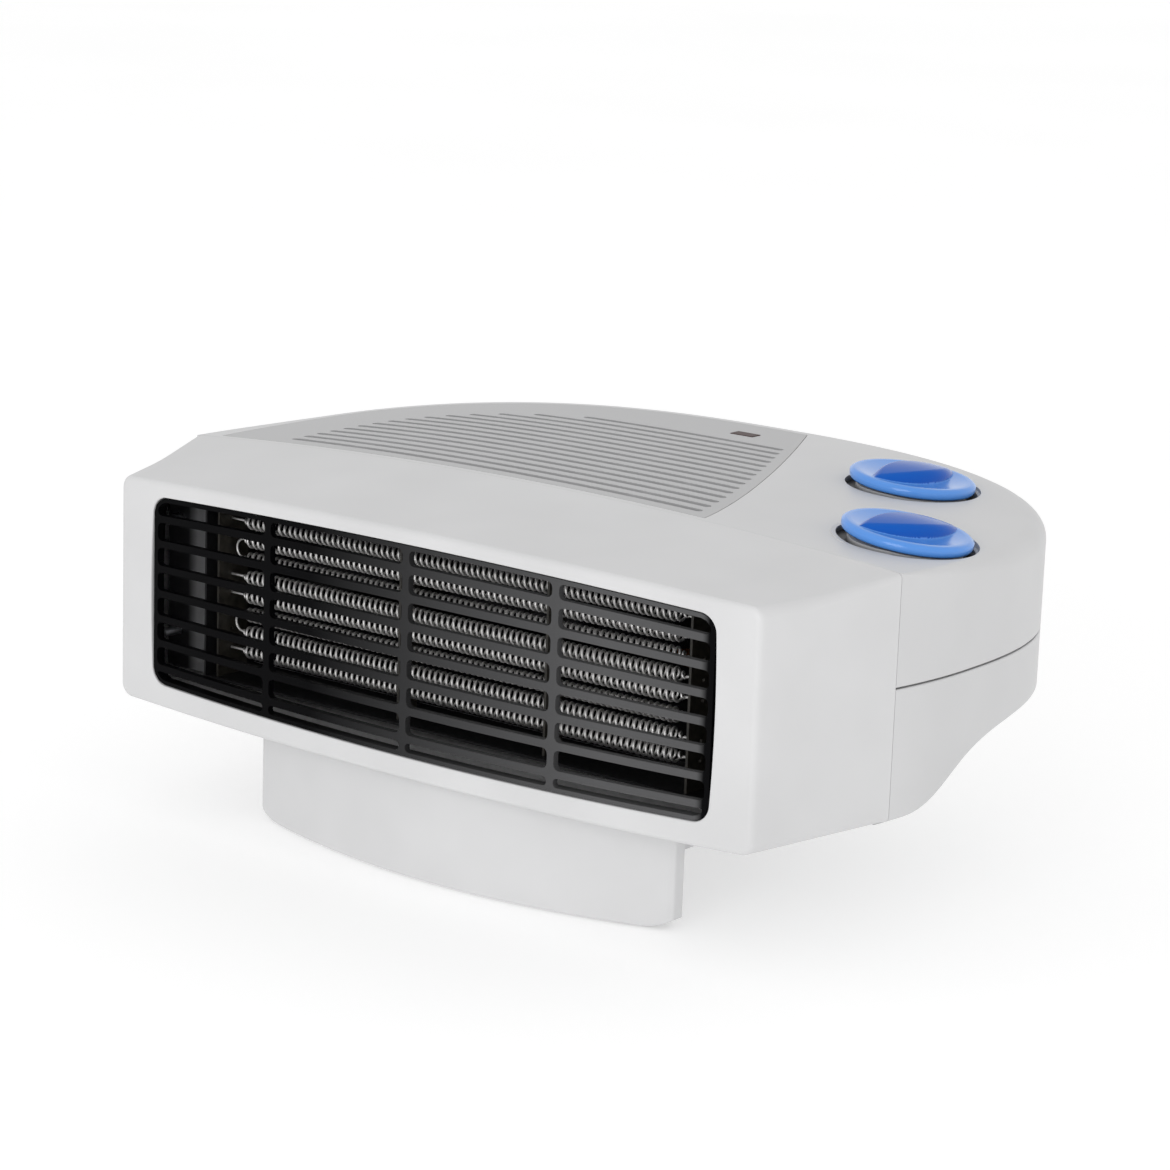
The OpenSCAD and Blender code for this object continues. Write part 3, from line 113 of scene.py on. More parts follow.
def make_camera():
    azimuth, elevation, roll = (
        math.radians(a) for a in (CAMERA_AZIMUTH, CAMERA_ELEVATION, CAMERA_ROLL)
    )
    forward = Vector((
        -math.sin(azimuth) * math.cos(elevation),
        math.cos(azimuth) * math.cos(elevation),
        -math.sin(elevation),
    ))
    level = Vector((math.cos(azimuth), math.sin(azimuth), 0))
    upright = level.cross(forward)
    right = level * math.cos(roll) + upright * math.sin(roll)
    up = upright * math.cos(roll) - level * math.sin(roll)
    data = bpy.data.cameras.new("camera")
    data.lens = CAMERA_LENS
    data.sensor_width = 36
    data.clip_start, data.clip_end = 0.05, 50
    camera = bpy.data.objects.new("camera", data)
    bpy.context.scene.collection.objects.link(camera)
    place = Vector((CAMERA_AT[0], CAMERA_AT[1] - MID_Y, CAMERA_AT[2])) * MM
    turn = Matrix((right, up, -forward)).transposed()
    camera.matrix_world = Matrix.Translation(place) @ turn.to_4x4()
    bpy.context.scene.camera = camera


make_camera()


# Mesh helpers

def place_mm(points):
    """Points in millimetres with depths from the bezel corners, as metres in the row frame."""
    points = np.asarray(points, float).reshape(-1, 3)
    return (points - (0, MID_Y, 0)) * MM


def raw_object(name, points, faces):
    """Object from points in metres."""
    mesh = bpy.data.meshes.new(name)
    mesh.from_pydata(np.asarray(points).tolist(), [], faces)
    mesh.validate()
    obj = bpy.data.objects.new(name, mesh)
    bpy.context.scene.collection.objects.link(obj)
    return obj


def mesh_object(name, points, faces):
    """Object from points in millimetres, with depths from the bezel corners."""
    return raw_object(name, place_mm(points), faces)


def ring_faces(rows, columns, closed_rows=False):
    """Faces between closed rings of points, ring after ring."""
    faces = []
    for j in range(rows if closed_rows else rows - 1):
        low, high = j * columns, (j + 1) % rows * columns
        for i in range(columns):
            k = (i + 1) % columns
            faces.append((low + i, low + k, high + k, high + i))
    return faces


def capped(rings, tip_low, tip_high):
    """Points and faces of a closed solid made of rings and two end points."""
    count, size = len(rings), len(rings[0])
    points = np.concatenate([np.concatenate(rings), [tip_low, tip_high]])
    faces = ring_faces(count, size)
    low, high = count * size, count * size + 1
    for i in range(size):
        k = (i + 1) % size
        faces.append((low, k, i))
        faces.append((high, (count - 1) * size + i, (count - 1) * size + k))
    return points, faces


def solid(name, rings, tip_low, tip_high):
    """Closed object made of rings and two end points, in millimetres."""
    return mesh_object(name, *capped(rings, tip_low, tip_high))


def prism(name, outline, low, high):
    """Upright solid over an outline of x and y."""
    size = len(outline)
    points = [(x, y, low) for x, y in outline] + [(x, y, high) for x, y in outline]
    faces = [tuple(range(size))[::-1], tuple(range(size, 2 * size))]
    faces += [(i, (i + 1) % size, size + (i + 1) % size, size + i) for i in range(size)]
    return mesh_object(name, points, faces)


def rectangle(x0, x1, y0, y1):
    return [(x0, y0), (x1, y0), (x1, y1), (x0, y1)]


def post(name, at, r, low, high, count=64):
    """Upright round post."""
    a = 2 * np.pi * np.arange(count) / count
    return prism(name, list(zip(at[0] + r * np.cos(a), at[1] + r * np.sin(a))), low, high)


def tidy(obj):
    """Makes the faces point outwards."""
    made = bmesh.new()
    made.from_mesh(obj.data)
    bmesh.ops.recalc_face_normals(made, faces=made.faces)
    made.to_mesh(obj.data)
    made.free()
    return obj


def carve(obj, *cutters, operation="DIFFERENCE"):
    """Cuts the cutters out of obj, or keeps what they share, and deletes them."""
    for cutter in cutters:
        modifier = obj.modifiers.new("cut", "BOOLEAN")
        modifier.operation = operation
        modifier.solver = "EXACT"
        modifier.object = cutter
    apply_modifiers(obj)
    for cutter in cutters:
        bpy.data.objects.remove(cutter)
    return obj


def apply_modifiers(obj):
    bpy.context.view_layer.update()
    graph = bpy.context.evaluated_depsgraph_get()
    made = bpy.data.meshes.new_from_object(obj.evaluated_get(graph))
    obj.modifiers.clear()
    old = obj.data
    obj.data = made
    bpy.data.meshes.remove(old)


def smooth(obj, angle=32):
    """Smooth shading, with edges sharper than the angle kept."""
    obj.data.shade_smooth()
    obj.data.set_sharp_from_angle(angle=math.radians(angle))
    return obj


def join(name, objects):
    """Joins objects into the first one."""
    made = bmesh.new()
    for o in objects:
        made.from_mesh(o.data)
    made.to_mesh(objects[0].data)
    made.free()
    for o in objects[1:]:
        bpy.data.objects.remove(o)
    objects[0].name = name
    return objects[0]


def dress(obj, body, material, slot, *stands_for):
    """Gives a piece its material and its body, and hides the solids that it replaces; slot is not
    used.
    """
    obj.data.materials.clear()
    obj.data.materials.append(material)
    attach(obj, body)
    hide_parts(*stands_for)


# Shape of the case, by the same formulas as its solids

def blend(a, b, t):
    return a + (b - a) * t


def unit_range(v):
    return np.clip(v, 0, 1)


def rounding(r, angles):
    """Steps round an edge of radius r, each with how far inwards and how far down it lies."""
    return [(r * (1 - math.cos(a)), r * (1 - math.sin(a))) for a in map(math.radians, angles)]


def bow(x):
    """How far the ridge lies behind a straight line between its ends."""
    return RIDGE_BOW * (1 - (x / RIDGE_HALF) ** 2)


def deck_z(x, y):
    """Height of the deck over any point behind the ridge."""
    run = unit_range((y - SEAM_Y) / CROWN_RUN)
    crown = blend(RIDGE_CROWN, DECK_CROWN, run * (2 - run))
    back = unit_range((y - SEAM_Y) / (CASE_DEPTH - SEAM_Y))
    across = np.abs(x) / RIDGE_HALF
    return CASE_TOP - crown * across ** blend(2, CROWN_POWER, run) - DECK_FALL * back ** 3


SIDE_STEPS = 10
REAR_STEPS = 56
SEAM_STEPS = 48


def plan_half(inset):
    """Right half of the plan outline from the seam round to the middle of the back."""
    t = np.arange(SIDE_STEPS + 1) / SIDE_STEPS
    side = np.stack([
        RIDGE_HALF - inset + (HALF_W - RIDGE_HALF) * (1 - (1 - t) ** 2),
        SEAM_Y + (WIDEST_Y - SEAM_Y) * t,
    ], 1)
    t = np.arange(1, REAR_STEPS + 1) / REAR_STEPS
    a = np.pi / 2 * t * t * (3 - 2 * t)
    rear = np.stack([
        (HALF_W - inset) * np.maximum(np.cos(a), 0) ** (2 / REAR_POWER),
        WIDEST_Y + (CASE_DEPTH - inset - WIDEST_Y) * np.sin(a) ** (2 / REAR_POWER),
    ], 1)
    rear[-1, 0] = 0
    return np.concatenate([side, rear])


def both_sides(half):
    """A right half and its mirror image, as one run from right to left."""
    left = half[:-1][::-1] * (-1, 1, 1)
    return np.concatenate([half, left])


seam_xs = -RIDGE_HALF + RIDGE_W * np.arange(1, SEAM_STEPS) / SEAM_STEPS


def shoulder_at(y):
    """Radius of the rounded top edge at depth y."""
    return blend(RIDGE_EDGE_R, SHOULDER_R, unit_range((y - SEAM_Y) / CROWN_RUN))


def lower_edge_z(y):
    """Lower side edge of the rear shell, which sweeps up behind the front housing."""
    back = np.maximum(0.01, y - SEAM_Y)
    return EDGE_FRONT_Z + (EDGE_REAR_Z - EDGE_FRONT_Z) / (1 + (SCOOP_MID / back) ** SCOOP_POWER)


def seam_line(inset, ahead):
    """The front of a ring, where the rear shells meet the front housing."""
    xs = seam_xs * (RIDGE_HALF - inset) / RIDGE_HALF
    return xs, SEAM_Y + bow(xs) - ahead


def flat_ring(inset, z, ahead):
    """Ring of the rear case at one height."""
    half = plan_half(inset)
    half = np.column_stack([half, np.full(len(half), z)])
    xs, ys = seam_line(inset, ahead)
    return np.concatenate([both_sides(half), np.column_stack([xs, ys, np.full(len(xs), z)])])


def shoulder_ring(inset, angle, ahead):
    """Ring round the rounded shoulder, from the wall at angle 0 to the deck at 90."""
    a = math.radians(angle)
    base = plan_half(inset)
    r = np.maximum(RIDGE_EDGE_R, shoulder_at(base[:, 1]) - inset)
    points = np.array([plan_half(inset + v * (1 - math.cos(a)))[k] for k, v in enumerate(r)])
    top = np.array([plan_half(inset + v)[k] for k, v in enumerate(r)])
    z = deck_z(top[:, 0], top[:, 1]) - inset - r * (1 - math.sin(a))
    xs, ys = seam_line(inset, ahead)
    if ahead <= 0:
        ys = ys + RIDGE_EDGE_R * (1 - math.cos(a))
    front = np.column_stack([xs, ys, deck_z(xs, ys) - inset - RIDGE_EDGE_R * (1 - math.sin(a))])
    return np.concatenate([both_sides(np.column_stack([points, z])), front])


def deck_ring(inset, scale, ahead):
    """Ring on the deck, drawn in towards its middle."""
    ring = shoulder_ring(inset, 90, ahead)
    x = ring[:, 0] * scale
    y = DECK_MID_Y + (ring[:, 1] - DECK_MID_Y) * scale
    return np.column_stack([x, y, deck_z(x, y) - inset])


def upper_form(name, inset, low_z, ahead, edge=0.0):
    """Solid of the rear case above a height, or of its inside when inset is the wall."""
    rings = []
    if edge:
        rings.append(flat_ring(inset + edge, low_z, ahead))
    rings.append(flat_ring(inset, low_z + edge, ahead))
    rings += [shoulder_ring(inset, a, ahead) for a in range(0, 91, 10)]
    rings += [deck_ring(inset, s, ahead) for s in np.linspace(0.94, 0.08, 16)]
    tip = (0, DECK_MID_Y, float(deck_z(0, DECK_MID_Y)) - inset)
    return solid(name, rings, (0, DECK_MID_Y, low_z), tip)


EDGE_ROUND = 1.2


def scoop_ring(inset, share, ahead):
    """Ring of the scooped underside, a share of the way from the flat bottom to the side edge."""
    edge = lower_edge_z(plan_half(0)[:, 1])
    drop = edge - CASE_BOTTOM
    inwards = inset + EDGE_ROUND + drop * SCOOP_SLOPE * (1 - share)
    points = np.array([plan_half(v)[k] for k, v in enumerate(inwards)])
    z = CASE_BOTTOM + inset + drop * share
    xs, ys = seam_line(inset, ahead)
    front = np.column_stack([xs, ys, np.full(len(xs), CASE_BOTTOM + inset)])
    return np.concatenate([both_sides(np.column_stack([points, z])), front])


def edge_ring(inset, angle, ahead):
    """Ring round the lower side edge, from the underside at angle 0 to the wall at 90."""
    a = math.radians(angle)
    edge = lower_edge_z(plan_half(0)[:, 1])
    half = plan_half(inset + EDGE_ROUND * (1 - math.sin(a)))
    z = edge + inset + EDGE_ROUND * (1 - math.cos(a))
    xs, ys = seam_line(inset, ahead)
    low = CASE_BOTTOM + inset + (EDGE_FRONT_Z + EDGE_ROUND - CASE_BOTTOM) * angle / 90
    front = np.column_stack([xs, ys, np.full(len(xs), low)])
    return np.concatenate([both_sides(np.column_stack([half, z])), front])


def lower_form(name, inset, high_z, ahead, edge=0.0):
    """Solid of the rear case below a height, with its scooped underside."""
    rings = [scoop_ring(inset, s, ahead) for s in (0, 0.04, 0.15, 0.3, 0.5, 0.7, 0.85, 0.96)]
    rings += [edge_ring(inset, a, ahead) for a in (0, 18, 36, 54, 72, 90)]
    rings.append(flat_ring(inset, high_z - edge, ahead))
    if edge:
        rings.append(flat_ring(inset + edge, high_z, ahead))
    return solid(name, rings, (0, DECK_MID_Y, CASE_BOTTOM + inset), (0, DECK_MID_Y, high_z))


# Outlines of the bezel and of its opening

EDGE_STEPS = 56
CORNER_STEPS = 10
UPRIGHT_STEPS = 16


def rounded(hw, hh, r):
    """Rounded rectangle from its lower left, counted the same way round for every size."""
    def line(a, b, count):
        t = np.arange(count)[:, None] / count
        return np.array(a) * (1 - t) + np.array(b) * t

    def corner(cx, cy, start):
        a = np.radians(start + 90 * np.arange(CORNER_STEPS) / CORNER_STEPS)
        return np.column_stack([cx + r * np.cos(a), cy + r * np.sin(a)])

    x, y = hw - r, hh - r
    return np.concatenate([
        line((-x, -hh), (x, -hh), EDGE_STEPS), corner(x, -y, -90),
        line((hw, -y), (hw, y), UPRIGHT_STEPS), corner(x, y, 0),
        line((x, hh), (-x, hh), EDGE_STEPS), corner(-x, y, 90),
        line((-hw, y), (-hw, -y), UPRIGHT_STEPS), corner(-x, -y, 180),
    ])


def barrel(w, low, high, sag, rise, side_bow, r):
    """Rounded rectangle whose long edges bow by sag and rise, and its sides by side_bow."""
    hw, hh = w / 2, (high - low) / 2
    points = rounded(hw, hh, r)
    u, v = points[:, 0] / hw, points[:, 1] / hh
    bowed = np.where(v > 0, rise, sag) * v * (1 - u * u)
    return np.column_stack([
        points[:, 0] + side_bow * u * (1 - v * v),
        (high + low) / 2 + points[:, 1] + bowed,
    ])


def face_y(x):
    return -FACE_BULGE * (1 - (2 * x / BEZEL_W) ** 2)


def slope_ring(t, inset, dip, ahead=0.0):
    """Ring of the front housing between the bezel at t 0 and the seam at t 1."""
    w = blend(BEZEL_W, RIDGE_W, t) - 2 * inset
    corner = blend(BEZEL_CORNER_R, SEAM_CORNER_R, min(1, t)) - CORNER_SHRINK * inset
    flat = barrel(
        w, blend(BEZEL_BOTTOM, EDGE_FRONT_Z, t) + inset,
        blend(BEZEL_TOP, CASE_TOP - RIDGE_CROWN, t) - inset - dip,
        blend(BEZEL_SAG, EDGE_FRONT_Z - CASE_BOTTOM, t), blend(BEZEL_RISE, RIDGE_CROWN, t), 0,
        max(LEAST_CORNER_R, corner),
    )
    y = SEAM_Y * t + blend(-FACE_BULGE, RIDGE_BOW, t) * (1 - (2 * flat[:, 0] / w) ** 2) - ahead
    return np.column_stack([flat[:, 0], y, flat[:, 1]])


def opening_ring(grow, back):
    """Ring round the hot air opening, grown all round and set back from the bowed face."""
    flat = barrel(
        OPENING_W + 2 * grow, OPENING_BOTTOM - grow, OPENING_TOP + grow,
        BEZEL_SAG, BEZEL_RISE, OPENING_SIDE_BOW, OPENING_CORNER_R + grow,
    )
    return np.column_stack([flat[:, 0], face_y(flat[:, 0]) + back, flat[:, 1]])


def slope_dip(t):
    """How far the top of the front housing lies under a straight line from bezel to ridge."""
    mid = SLOPE_Y / SEAM_Y
    sharp = SLOPE_HOLLOW * min(t / mid, (1 - t) / (1 - mid))
    return sharp - SLOPE_EASE * math.exp(-((t - mid) / SLOPE_EASE_RUN) ** 2)


BEZEL_EDGE_R = 1.6
LIP_R = 0.5
SEAM_EDGE = 0.25
FRONT_GAP = 0.12
FRONT_EDGE = 0.12


def front_housing():
    """Front shell, ring after ring: ridge, slope, bezel, the opening's lip and back inside."""
    rings = [slope_ring(1, FRONT_EDGE, 0, FRONT_GAP), slope_ring(1, 0, 0, FRONT_GAP + FRONT_EDGE)]
    first = BEZEL_EDGE_R / SEAM_Y
    for t in np.linspace(0.98, first, 30):
        rings.append(slope_ring(t, 0, slope_dip(t)))
    for angle in (22, 45, 68, 90):
        a = math.radians(angle)
        rings.append(slope_ring(first * (1 - math.sin(a)), BEZEL_EDGE_R * (1 - math.cos(a)), 0))
    outer, inner = rings[-1], opening_ring(LIP_R, 0)
    for s in (0.15, 0.4, 0.7, 0.93):
        mixed = blend(outer, inner, s)
        mixed[:, 1] = blend(outer[:, 1], face_y(mixed[:, 0]), min(1, 3 * s))
        rings.append(mixed)
    for back, grow in rounding(LIP_R, (0, 30, 60, 90)):
        rings.append(opening_ring(grow, back))
    rings.append(opening_ring(0, BEZEL_T))
    inside = slope_ring(0, WALL, 0)
    inside[:, 1] += BEZEL_T
    rings.append(inside)
    rings.append(slope_ring(SLOPE_Y / SEAM_Y, WALL, SLOPE_HOLLOW))
    rings.append(slope_ring(1, WALL, 0, FRONT_GAP))
    rings = rings[::-1]
    points = np.concatenate(rings)
    faces = ring_faces(len(rings), len(rings[0]), closed_rows=True)
    return smooth(tidy(mesh_object("front_shell", points, faces)), 25)


# Intake panel in the deck

INTAKE_Y0 = SEAM_Y + 3
INTAKE_FRONT_X = 64.0
INTAKE_REAR_X = 12.0
INTAKE_MARGIN = 9.0
INTAKE_POWER = 1.3
INTAKE_FIT = 0.25
INTAKE_CORNER = 6.0
LOUVRE_PITCH = 6.6
LOUVRE_GAP = 2.8
LOUVRE_MARGIN = 4.5
LOUVRE_LEFT = 24.0
LOUVRE_LAST_Y = 157.0
OUTLINE_STEPS = 33
PANEL_REACH = 14.0
SLOT_CUT = (CASE_TOP - 22, CASE_TOP + 6)
WINDOW_CUT = (60, 130)
LAMP_W, LAMP_L = 9.0, 5.0
RIB_XS = (-78, -38, 2, 32)
RIB_W = 2.0
RIB_H = 4.5
RIB_START = 2.0
RIB_CLEAR = 6.0
RIB_SHARE = 0.86
RIB_LAST_Y = CASE_DEPTH - 29.4


def intake_edge(y):
    """Edge of the intake field on the control side."""
    t = unit_range((y - SEAM_Y) / (CASE_DEPTH - INTAKE_MARGIN - SEAM_Y))
    return INTAKE_FRONT_X - (INTAKE_FRONT_X - INTAKE_REAR_X) * t ** INTAKE_POWER


def deck_half(y, inset):
    """Half width of the deck at depth y, moved inwards by inset."""
    if y < WIDEST_Y:
        t = (y - SEAM_Y) / (WIDEST_Y - SEAM_Y)
        return RIDGE_HALF - inset + (HALF_W - RIDGE_HALF) * (1 - (1 - t) ** 2)
    t = unit_range((y - WIDEST_Y) / (CASE_DEPTH - inset - WIDEST_Y))
    return (HALF_W - inset) * (1 - t ** REAR_POWER) ** (1 / REAR_POWER)


def intake_outline(fit):
    """Plan outline of the intake panel, grown all round by fit."""
    margin, y0 = INTAKE_MARGIN - fit, INTAKE_Y0 - fit
    y1 = CASE_DEPTH - margin
    ys = np.linspace(y0 + bow(INTAKE_FRONT_X), y1 - 0.4, OUTLINE_STEPS)
    right = [(float(intake_edge(y)) + fit, y) for y in ys]
    rear = [(-x, y) for x, y in plan_half(margin)[::-1] if y > y0 + 1]
    left = -deck_half(y0 + 0.1, margin)
    xs = np.linspace(left, INTAKE_FRONT_X - INTAKE_CORNER, OUTLINE_STEPS)
    return right + rear + [(x, y0 + bow(x)) for x in xs]


def slot_cutter(x0, x1, y, width):
    """Slot with round ends, parallel to the ridge."""
    r = width / 2
    a = np.radians(np.linspace(-90, 90, 9))
    right = [(x1 - r + r * math.cos(t), y + r + r * math.sin(t)) for t in a]
    left = [(x0 + r - r * math.cos(t), y + r - r * math.sin(t)) for t in a]
    return prism("slot", right + left, *SLOT_CUT)


def louvres():
    """Ends and depth of each louvre slot."""
    first = INTAKE_Y0 + RIDGE_BOW + LOUVRE_MARGIN
    for y in np.arange(first, LOUVRE_LAST_Y, LOUVRE_PITCH):
        yield -deck_half(y, INTAKE_MARGIN + LOUVRE_LEFT), float(intake_edge(y)) - LOUVRE_MARGIN, y


def intake_prism(fit, low):
    """Upright solid over the intake panel's outline, from below low to above the deck."""
    return prism("panel", intake_outline(fit), low - PAST, CASE_TOP + 2 * PAST)


def intake_panel():
    low = CASE_TOP - PANEL_REACH
    outer = upper_form("intake_panel", 0, low, 0)
    inner = upper_form("inside", WALL, low - 1, INSIDE_AHEAD)
    cutters = [inner] + [slot_cutter(x0, x1, y, LOUVRE_GAP) for x0, x1, y in louvres()]
    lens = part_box("pilot_lamp_lens")
    x, y = (lens[0].x + lens[1].x) / 2 / MM, (lens[0].y + lens[1].y) / 2 / MM + MID_Y
    w, d = LAMP_W / 2, LAMP_L / 2
    cutters.append(prism("window", rectangle(x - w, x + w, y - d, y + d), *WINDOW_CUT))
    carve(outer, intake_prism(0, low), operation="INTERSECT")
    carve(outer, *cutters)
    ribs = [rib(x) for x in RIB_XS]
    return smooth(join("intake_panel", [outer] + ribs))


def rib(x):
    """Rib under the louvres that ties them together."""
    y0 = INTAKE_Y0 + RIDGE_BOW + RIB_START
    room = (INTAKE_FRONT_X - x - RIB_CLEAR) / (INTAKE_FRONT_X - INTAKE_REAR_X)
    y1 = min(RIB_LAST_Y, SEAM_Y + RIB_SHARE * (CASE_DEPTH - SEAM_Y) * room ** (1 / INTAKE_POWER))
    top = float(deck_z(x, y1)) - WALL / 2
    w = RIB_W / 2
    return prism("rib", rectangle(x - w, x + w, y0, y1), top - RIB_H, top)


# Controls: where each stands on the deck and how it leans

SELECTOR_AT, SELECTOR_LEAN, SELECTOR_TURN = (113.5, 83.0), (-3, 8), 68
THERMOSTAT_AT, THERMOSTAT_LEAN, THERMOSTAT_TURN = (78.0, 141.0), (-2, 5.5), 80
KNOB_R = 19.5
KNOB_DISC_H = 3.2
KNOB_GRIP_H = 3.0
KNOB_GRIP_W = 16.0
KNOB_GAP = 0.8
SEAT_R = KNOB_R + 1.5
SEAT_DROP = 0.4
SEAT_T = 4.0
GROOVE_R = SEAT_R - 0.5
GROOVE_W = 3.4
GROOVE_DEPTH = 3.0
GROOVE_NEAR = 0.1
SEAT_DISC_R = SEAT_R + 0.8
SEAT_SUNK = 1.0
POCKET_R = SEAT_R + 0.3
POCKET_BEVEL = 0.4
POCKET_REACH = 9.0
POCKET_SIDES = 180
NECK_R = 5.2


def placed_at(point):
    """Move to a point in millimetres, its depth from the bezel corners."""
    return Matrix.Translation(Vector((point[0], point[1] - MID_Y, point[2])) * MM)


def turned_by(degrees, axis):
    return Matrix.Rotation(math.radians(degrees), 4, axis)


def control_frame(at, lean):
    """Matrix in metres of a control's frame: its origin on the seat, its Z along the spindle."""
    z = float(deck_z(*at)) - SEAT_DROP
    return placed_at((*at, z)) @ (turned_by(lean[1], "Y") @ turned_by(lean[0], "X"))


def turned(name, profile, count=128):
    """Solid revolved about its own Z axis, from a profile of radius and height in millimetres."""
    a = 2 * np.pi * np.arange(count) / count
    rings = [np.column_stack([r * np.cos(a), r * np.sin(a), np.full(count, z)]) for r, z in profile]
    points, faces = capped(rings, (0, 0, profile[0][1]), (0, 0, profile[-1][1]))
    return raw_object(name, points * MM, faces)


def at_control(obj, at, lean):
    obj.data.transform(control_frame(at, lean))
    return obj


def control_cutter(at, lean):
    """One cut for a control: its neck's hole, the flat seat, the groove and the pocket's edge."""
    groove_in = GROOVE_R - GROOVE_W
    cutter = turned("pocket", [
        (NECK_R, -POCKET_REACH), (NECK_R, 0), (groove_in, 0), (groove_in, -GROOVE_DEPTH),
        (GROOVE_R, -GROOVE_DEPTH), (GROOVE_R, 0),
        (POCKET_R - POCKET_BEVEL, 0), (POCKET_R, POCKET_BEVEL), (POCKET_R, POCKET_REACH),
    ], POCKET_SIDES)
    return at_control(cutter, at, lean)


def seat_disc(at, lean):
    """Thicker patch under a control, its top hidden inside the deck's wall."""
    disc = turned("seat", [(SEAT_DISC_R, -SEAT_T), (SEAT_DISC_R, -SEAT_SUNK)])
    return at_control(disc, at, lean)


def mark_groove_shade(shell, places):
    """Keeps on the mesh which points lie on the floor of a control's groove, where shade is
    painted.
    """
    points = np.array([(*v.co, 1) for v in shell.data.vertices])
    groove_shade_points = np.zeros(len(points))
    for at, lean in places:
        x, y, z, _ = (points @ np.array(control_frame(at, lean).inverted()).T / MM).T
        across = np.abs(np.hypot(x, y) - GROOVE_R + GROOVE_W / 2) < GROOVE_W / 2 + GROOVE_NEAR
        groove_shade_points += across & (np.abs(z + GROOVE_DEPTH) < GROOVE_NEAR)
    shell.data.attributes.new("painted_groove_shade", "FLOAT", "POINT").data.foreach_set("value", groove_shade_points)
    return shell


def upper_housing():
    low = JOINT_Z + JOINT_GAP / 2
    shell = upper_form("upper_shell", 0, low, 0, SEAM_EDGE)
    places = ((SELECTOR_AT, SELECTOR_LEAN), (THERMOSTAT_AT, THERMOSTAT_LEAN))
    carve(shell, upper_form("inside", WALL, low - PAST, INSIDE_AHEAD))
    carve(shell, *(seat_disc(*p) for p in places), operation="UNION")
    carve(shell, *(control_cutter(*p) for p in places))
    carve(shell, intake_prism(INTAKE_FIT, low))
    return smooth(mark_groove_shade(shell, places))


# Cord gland, case screws and the skin that their columns stay under

GLAND_AT = (70, 182.68, 69.1)
GLAND_TURN = -16.1
GLAND_HOLE_R = 5.7
GLAND_CUT = 12.0
CASE_SCREWS_AT = ((118, 58), (-118, 58), (-104, 132), (52, 165))
SINK_Z = 66.0
COLUMN_R = 4.6
SCREW_R = 1.55
HEAD_R = 3.4
SKIN = 0.4


def lower_housing():
    high = JOINT_Z - JOINT_GAP / 2
    shell = lower_form("lower_shell", 0, high, 0, SEAM_EDGE)
    carve(shell, lower_form("inside", WALL, high + PAST, INSIDE_AHEAD))
    for p in CASE_SCREWS_AT:
        column = post("column", p, COLUMN_R, CASE_BOTTOM - 2, JOINT_Z - 1)
        carve(column, lower_form("skin", SKIN, high + PAST, 0), operation="INTERSECT")
        carve(shell, column, operation="UNION")
    cuts = [post("sink", p, HEAD_R, CASE_BOTTOM - 2, SINK_Z) for p in CASE_SCREWS_AT]
    cuts += [post("hole", p, SCREW_R, SINK_Z - 1, JOINT_Z + 1) for p in CASE_SCREWS_AT]
    carve(shell, *cuts)
    hole = turned("hole", [(GLAND_HOLE_R, -GLAND_CUT), (GLAND_HOLE_R, GLAND_CUT)], 64)
    hole.data.transform(placed_at(GLAND_AT) @ (turned_by(GLAND_TURN, "Z") @ turned_by(-90, "X")))
    return smooth(carve(shell, hole))


# Knobs as one smooth relief: a dished disc that blends into a lens-shaped grip

KNOB_RADIAL = 110
KNOB_ROUND = 256
GRIP_HALF = KNOB_R - 0.8
GRIP_ROUND = 2.6
GRIP_BLEND = 0.4
GRIP_FADE = 0.6
KNOB_RIM_RUN = 1.6
KNOB_RIM_DROP = 0.9
KNOB_DISH = 1.3
KNOB_DISH_R = KNOB_R - 2.5
GRIP_ROOT = 1.2
GRIP_RISE = KNOB_GRIP_H + 0.2
# Underside from the rim inwards, as radius and height
KNOB_UNDER = (
    (KNOB_R, 1.2), (KNOB_R - 0.2, 0.4), (KNOB_R - 0.6, 0),
    (KNOB_R - 2, 0), (KNOB_R - 2.4, 0.8), (3.1, 0.8),
)


def knob_relief(x, y):
    """Height of a knob's top over a point, in millimetres, and how much of it there is the grip."""
    r = np.hypot(x, y)
    over = unit_range((r - (KNOB_R - KNOB_RIM_RUN)) / KNOB_RIM_RUN)
    rim = KNOB_DISC_H - KNOB_RIM_DROP * over ** 2
    disc = rim - KNOB_DISH * (1 - unit_range(r / KNOB_DISH_R) ** 2)
    lens_r = (GRIP_HALF ** 2 + (KNOB_GRIP_W / 2) ** 2) / KNOB_GRIP_W
    inside = lens_r - np.hypot(x, np.abs(y) + lens_r - KNOB_GRIP_W / 2)
    dome_r = (KNOB_R ** 2 + GRIP_RISE ** 2) / (2 * GRIP_RISE)
    dome = np.sqrt(np.maximum(dome_r ** 2 - r ** 2, 0)) - dome_r + KNOB_DISC_H + KNOB_GRIP_H
    flank = np.sqrt(1 - (1 - unit_range(inside / GRIP_ROUND)) ** 2)
    grip = blend(disc - GRIP_ROOT, dome, flank) + np.minimum(inside, 0)
    return soft_max(disc, grip, GRIP_BLEND), unit_range((grip - disc) / GRIP_FADE + 0.5)


def soft_max(a, b, k):
    """The larger of two heights, with a blend of about k where they meet."""
    h = unit_range(0.5 + 0.5 * (a - b) / k)
    return blend(b, a, h) + k * h * (1 - h)


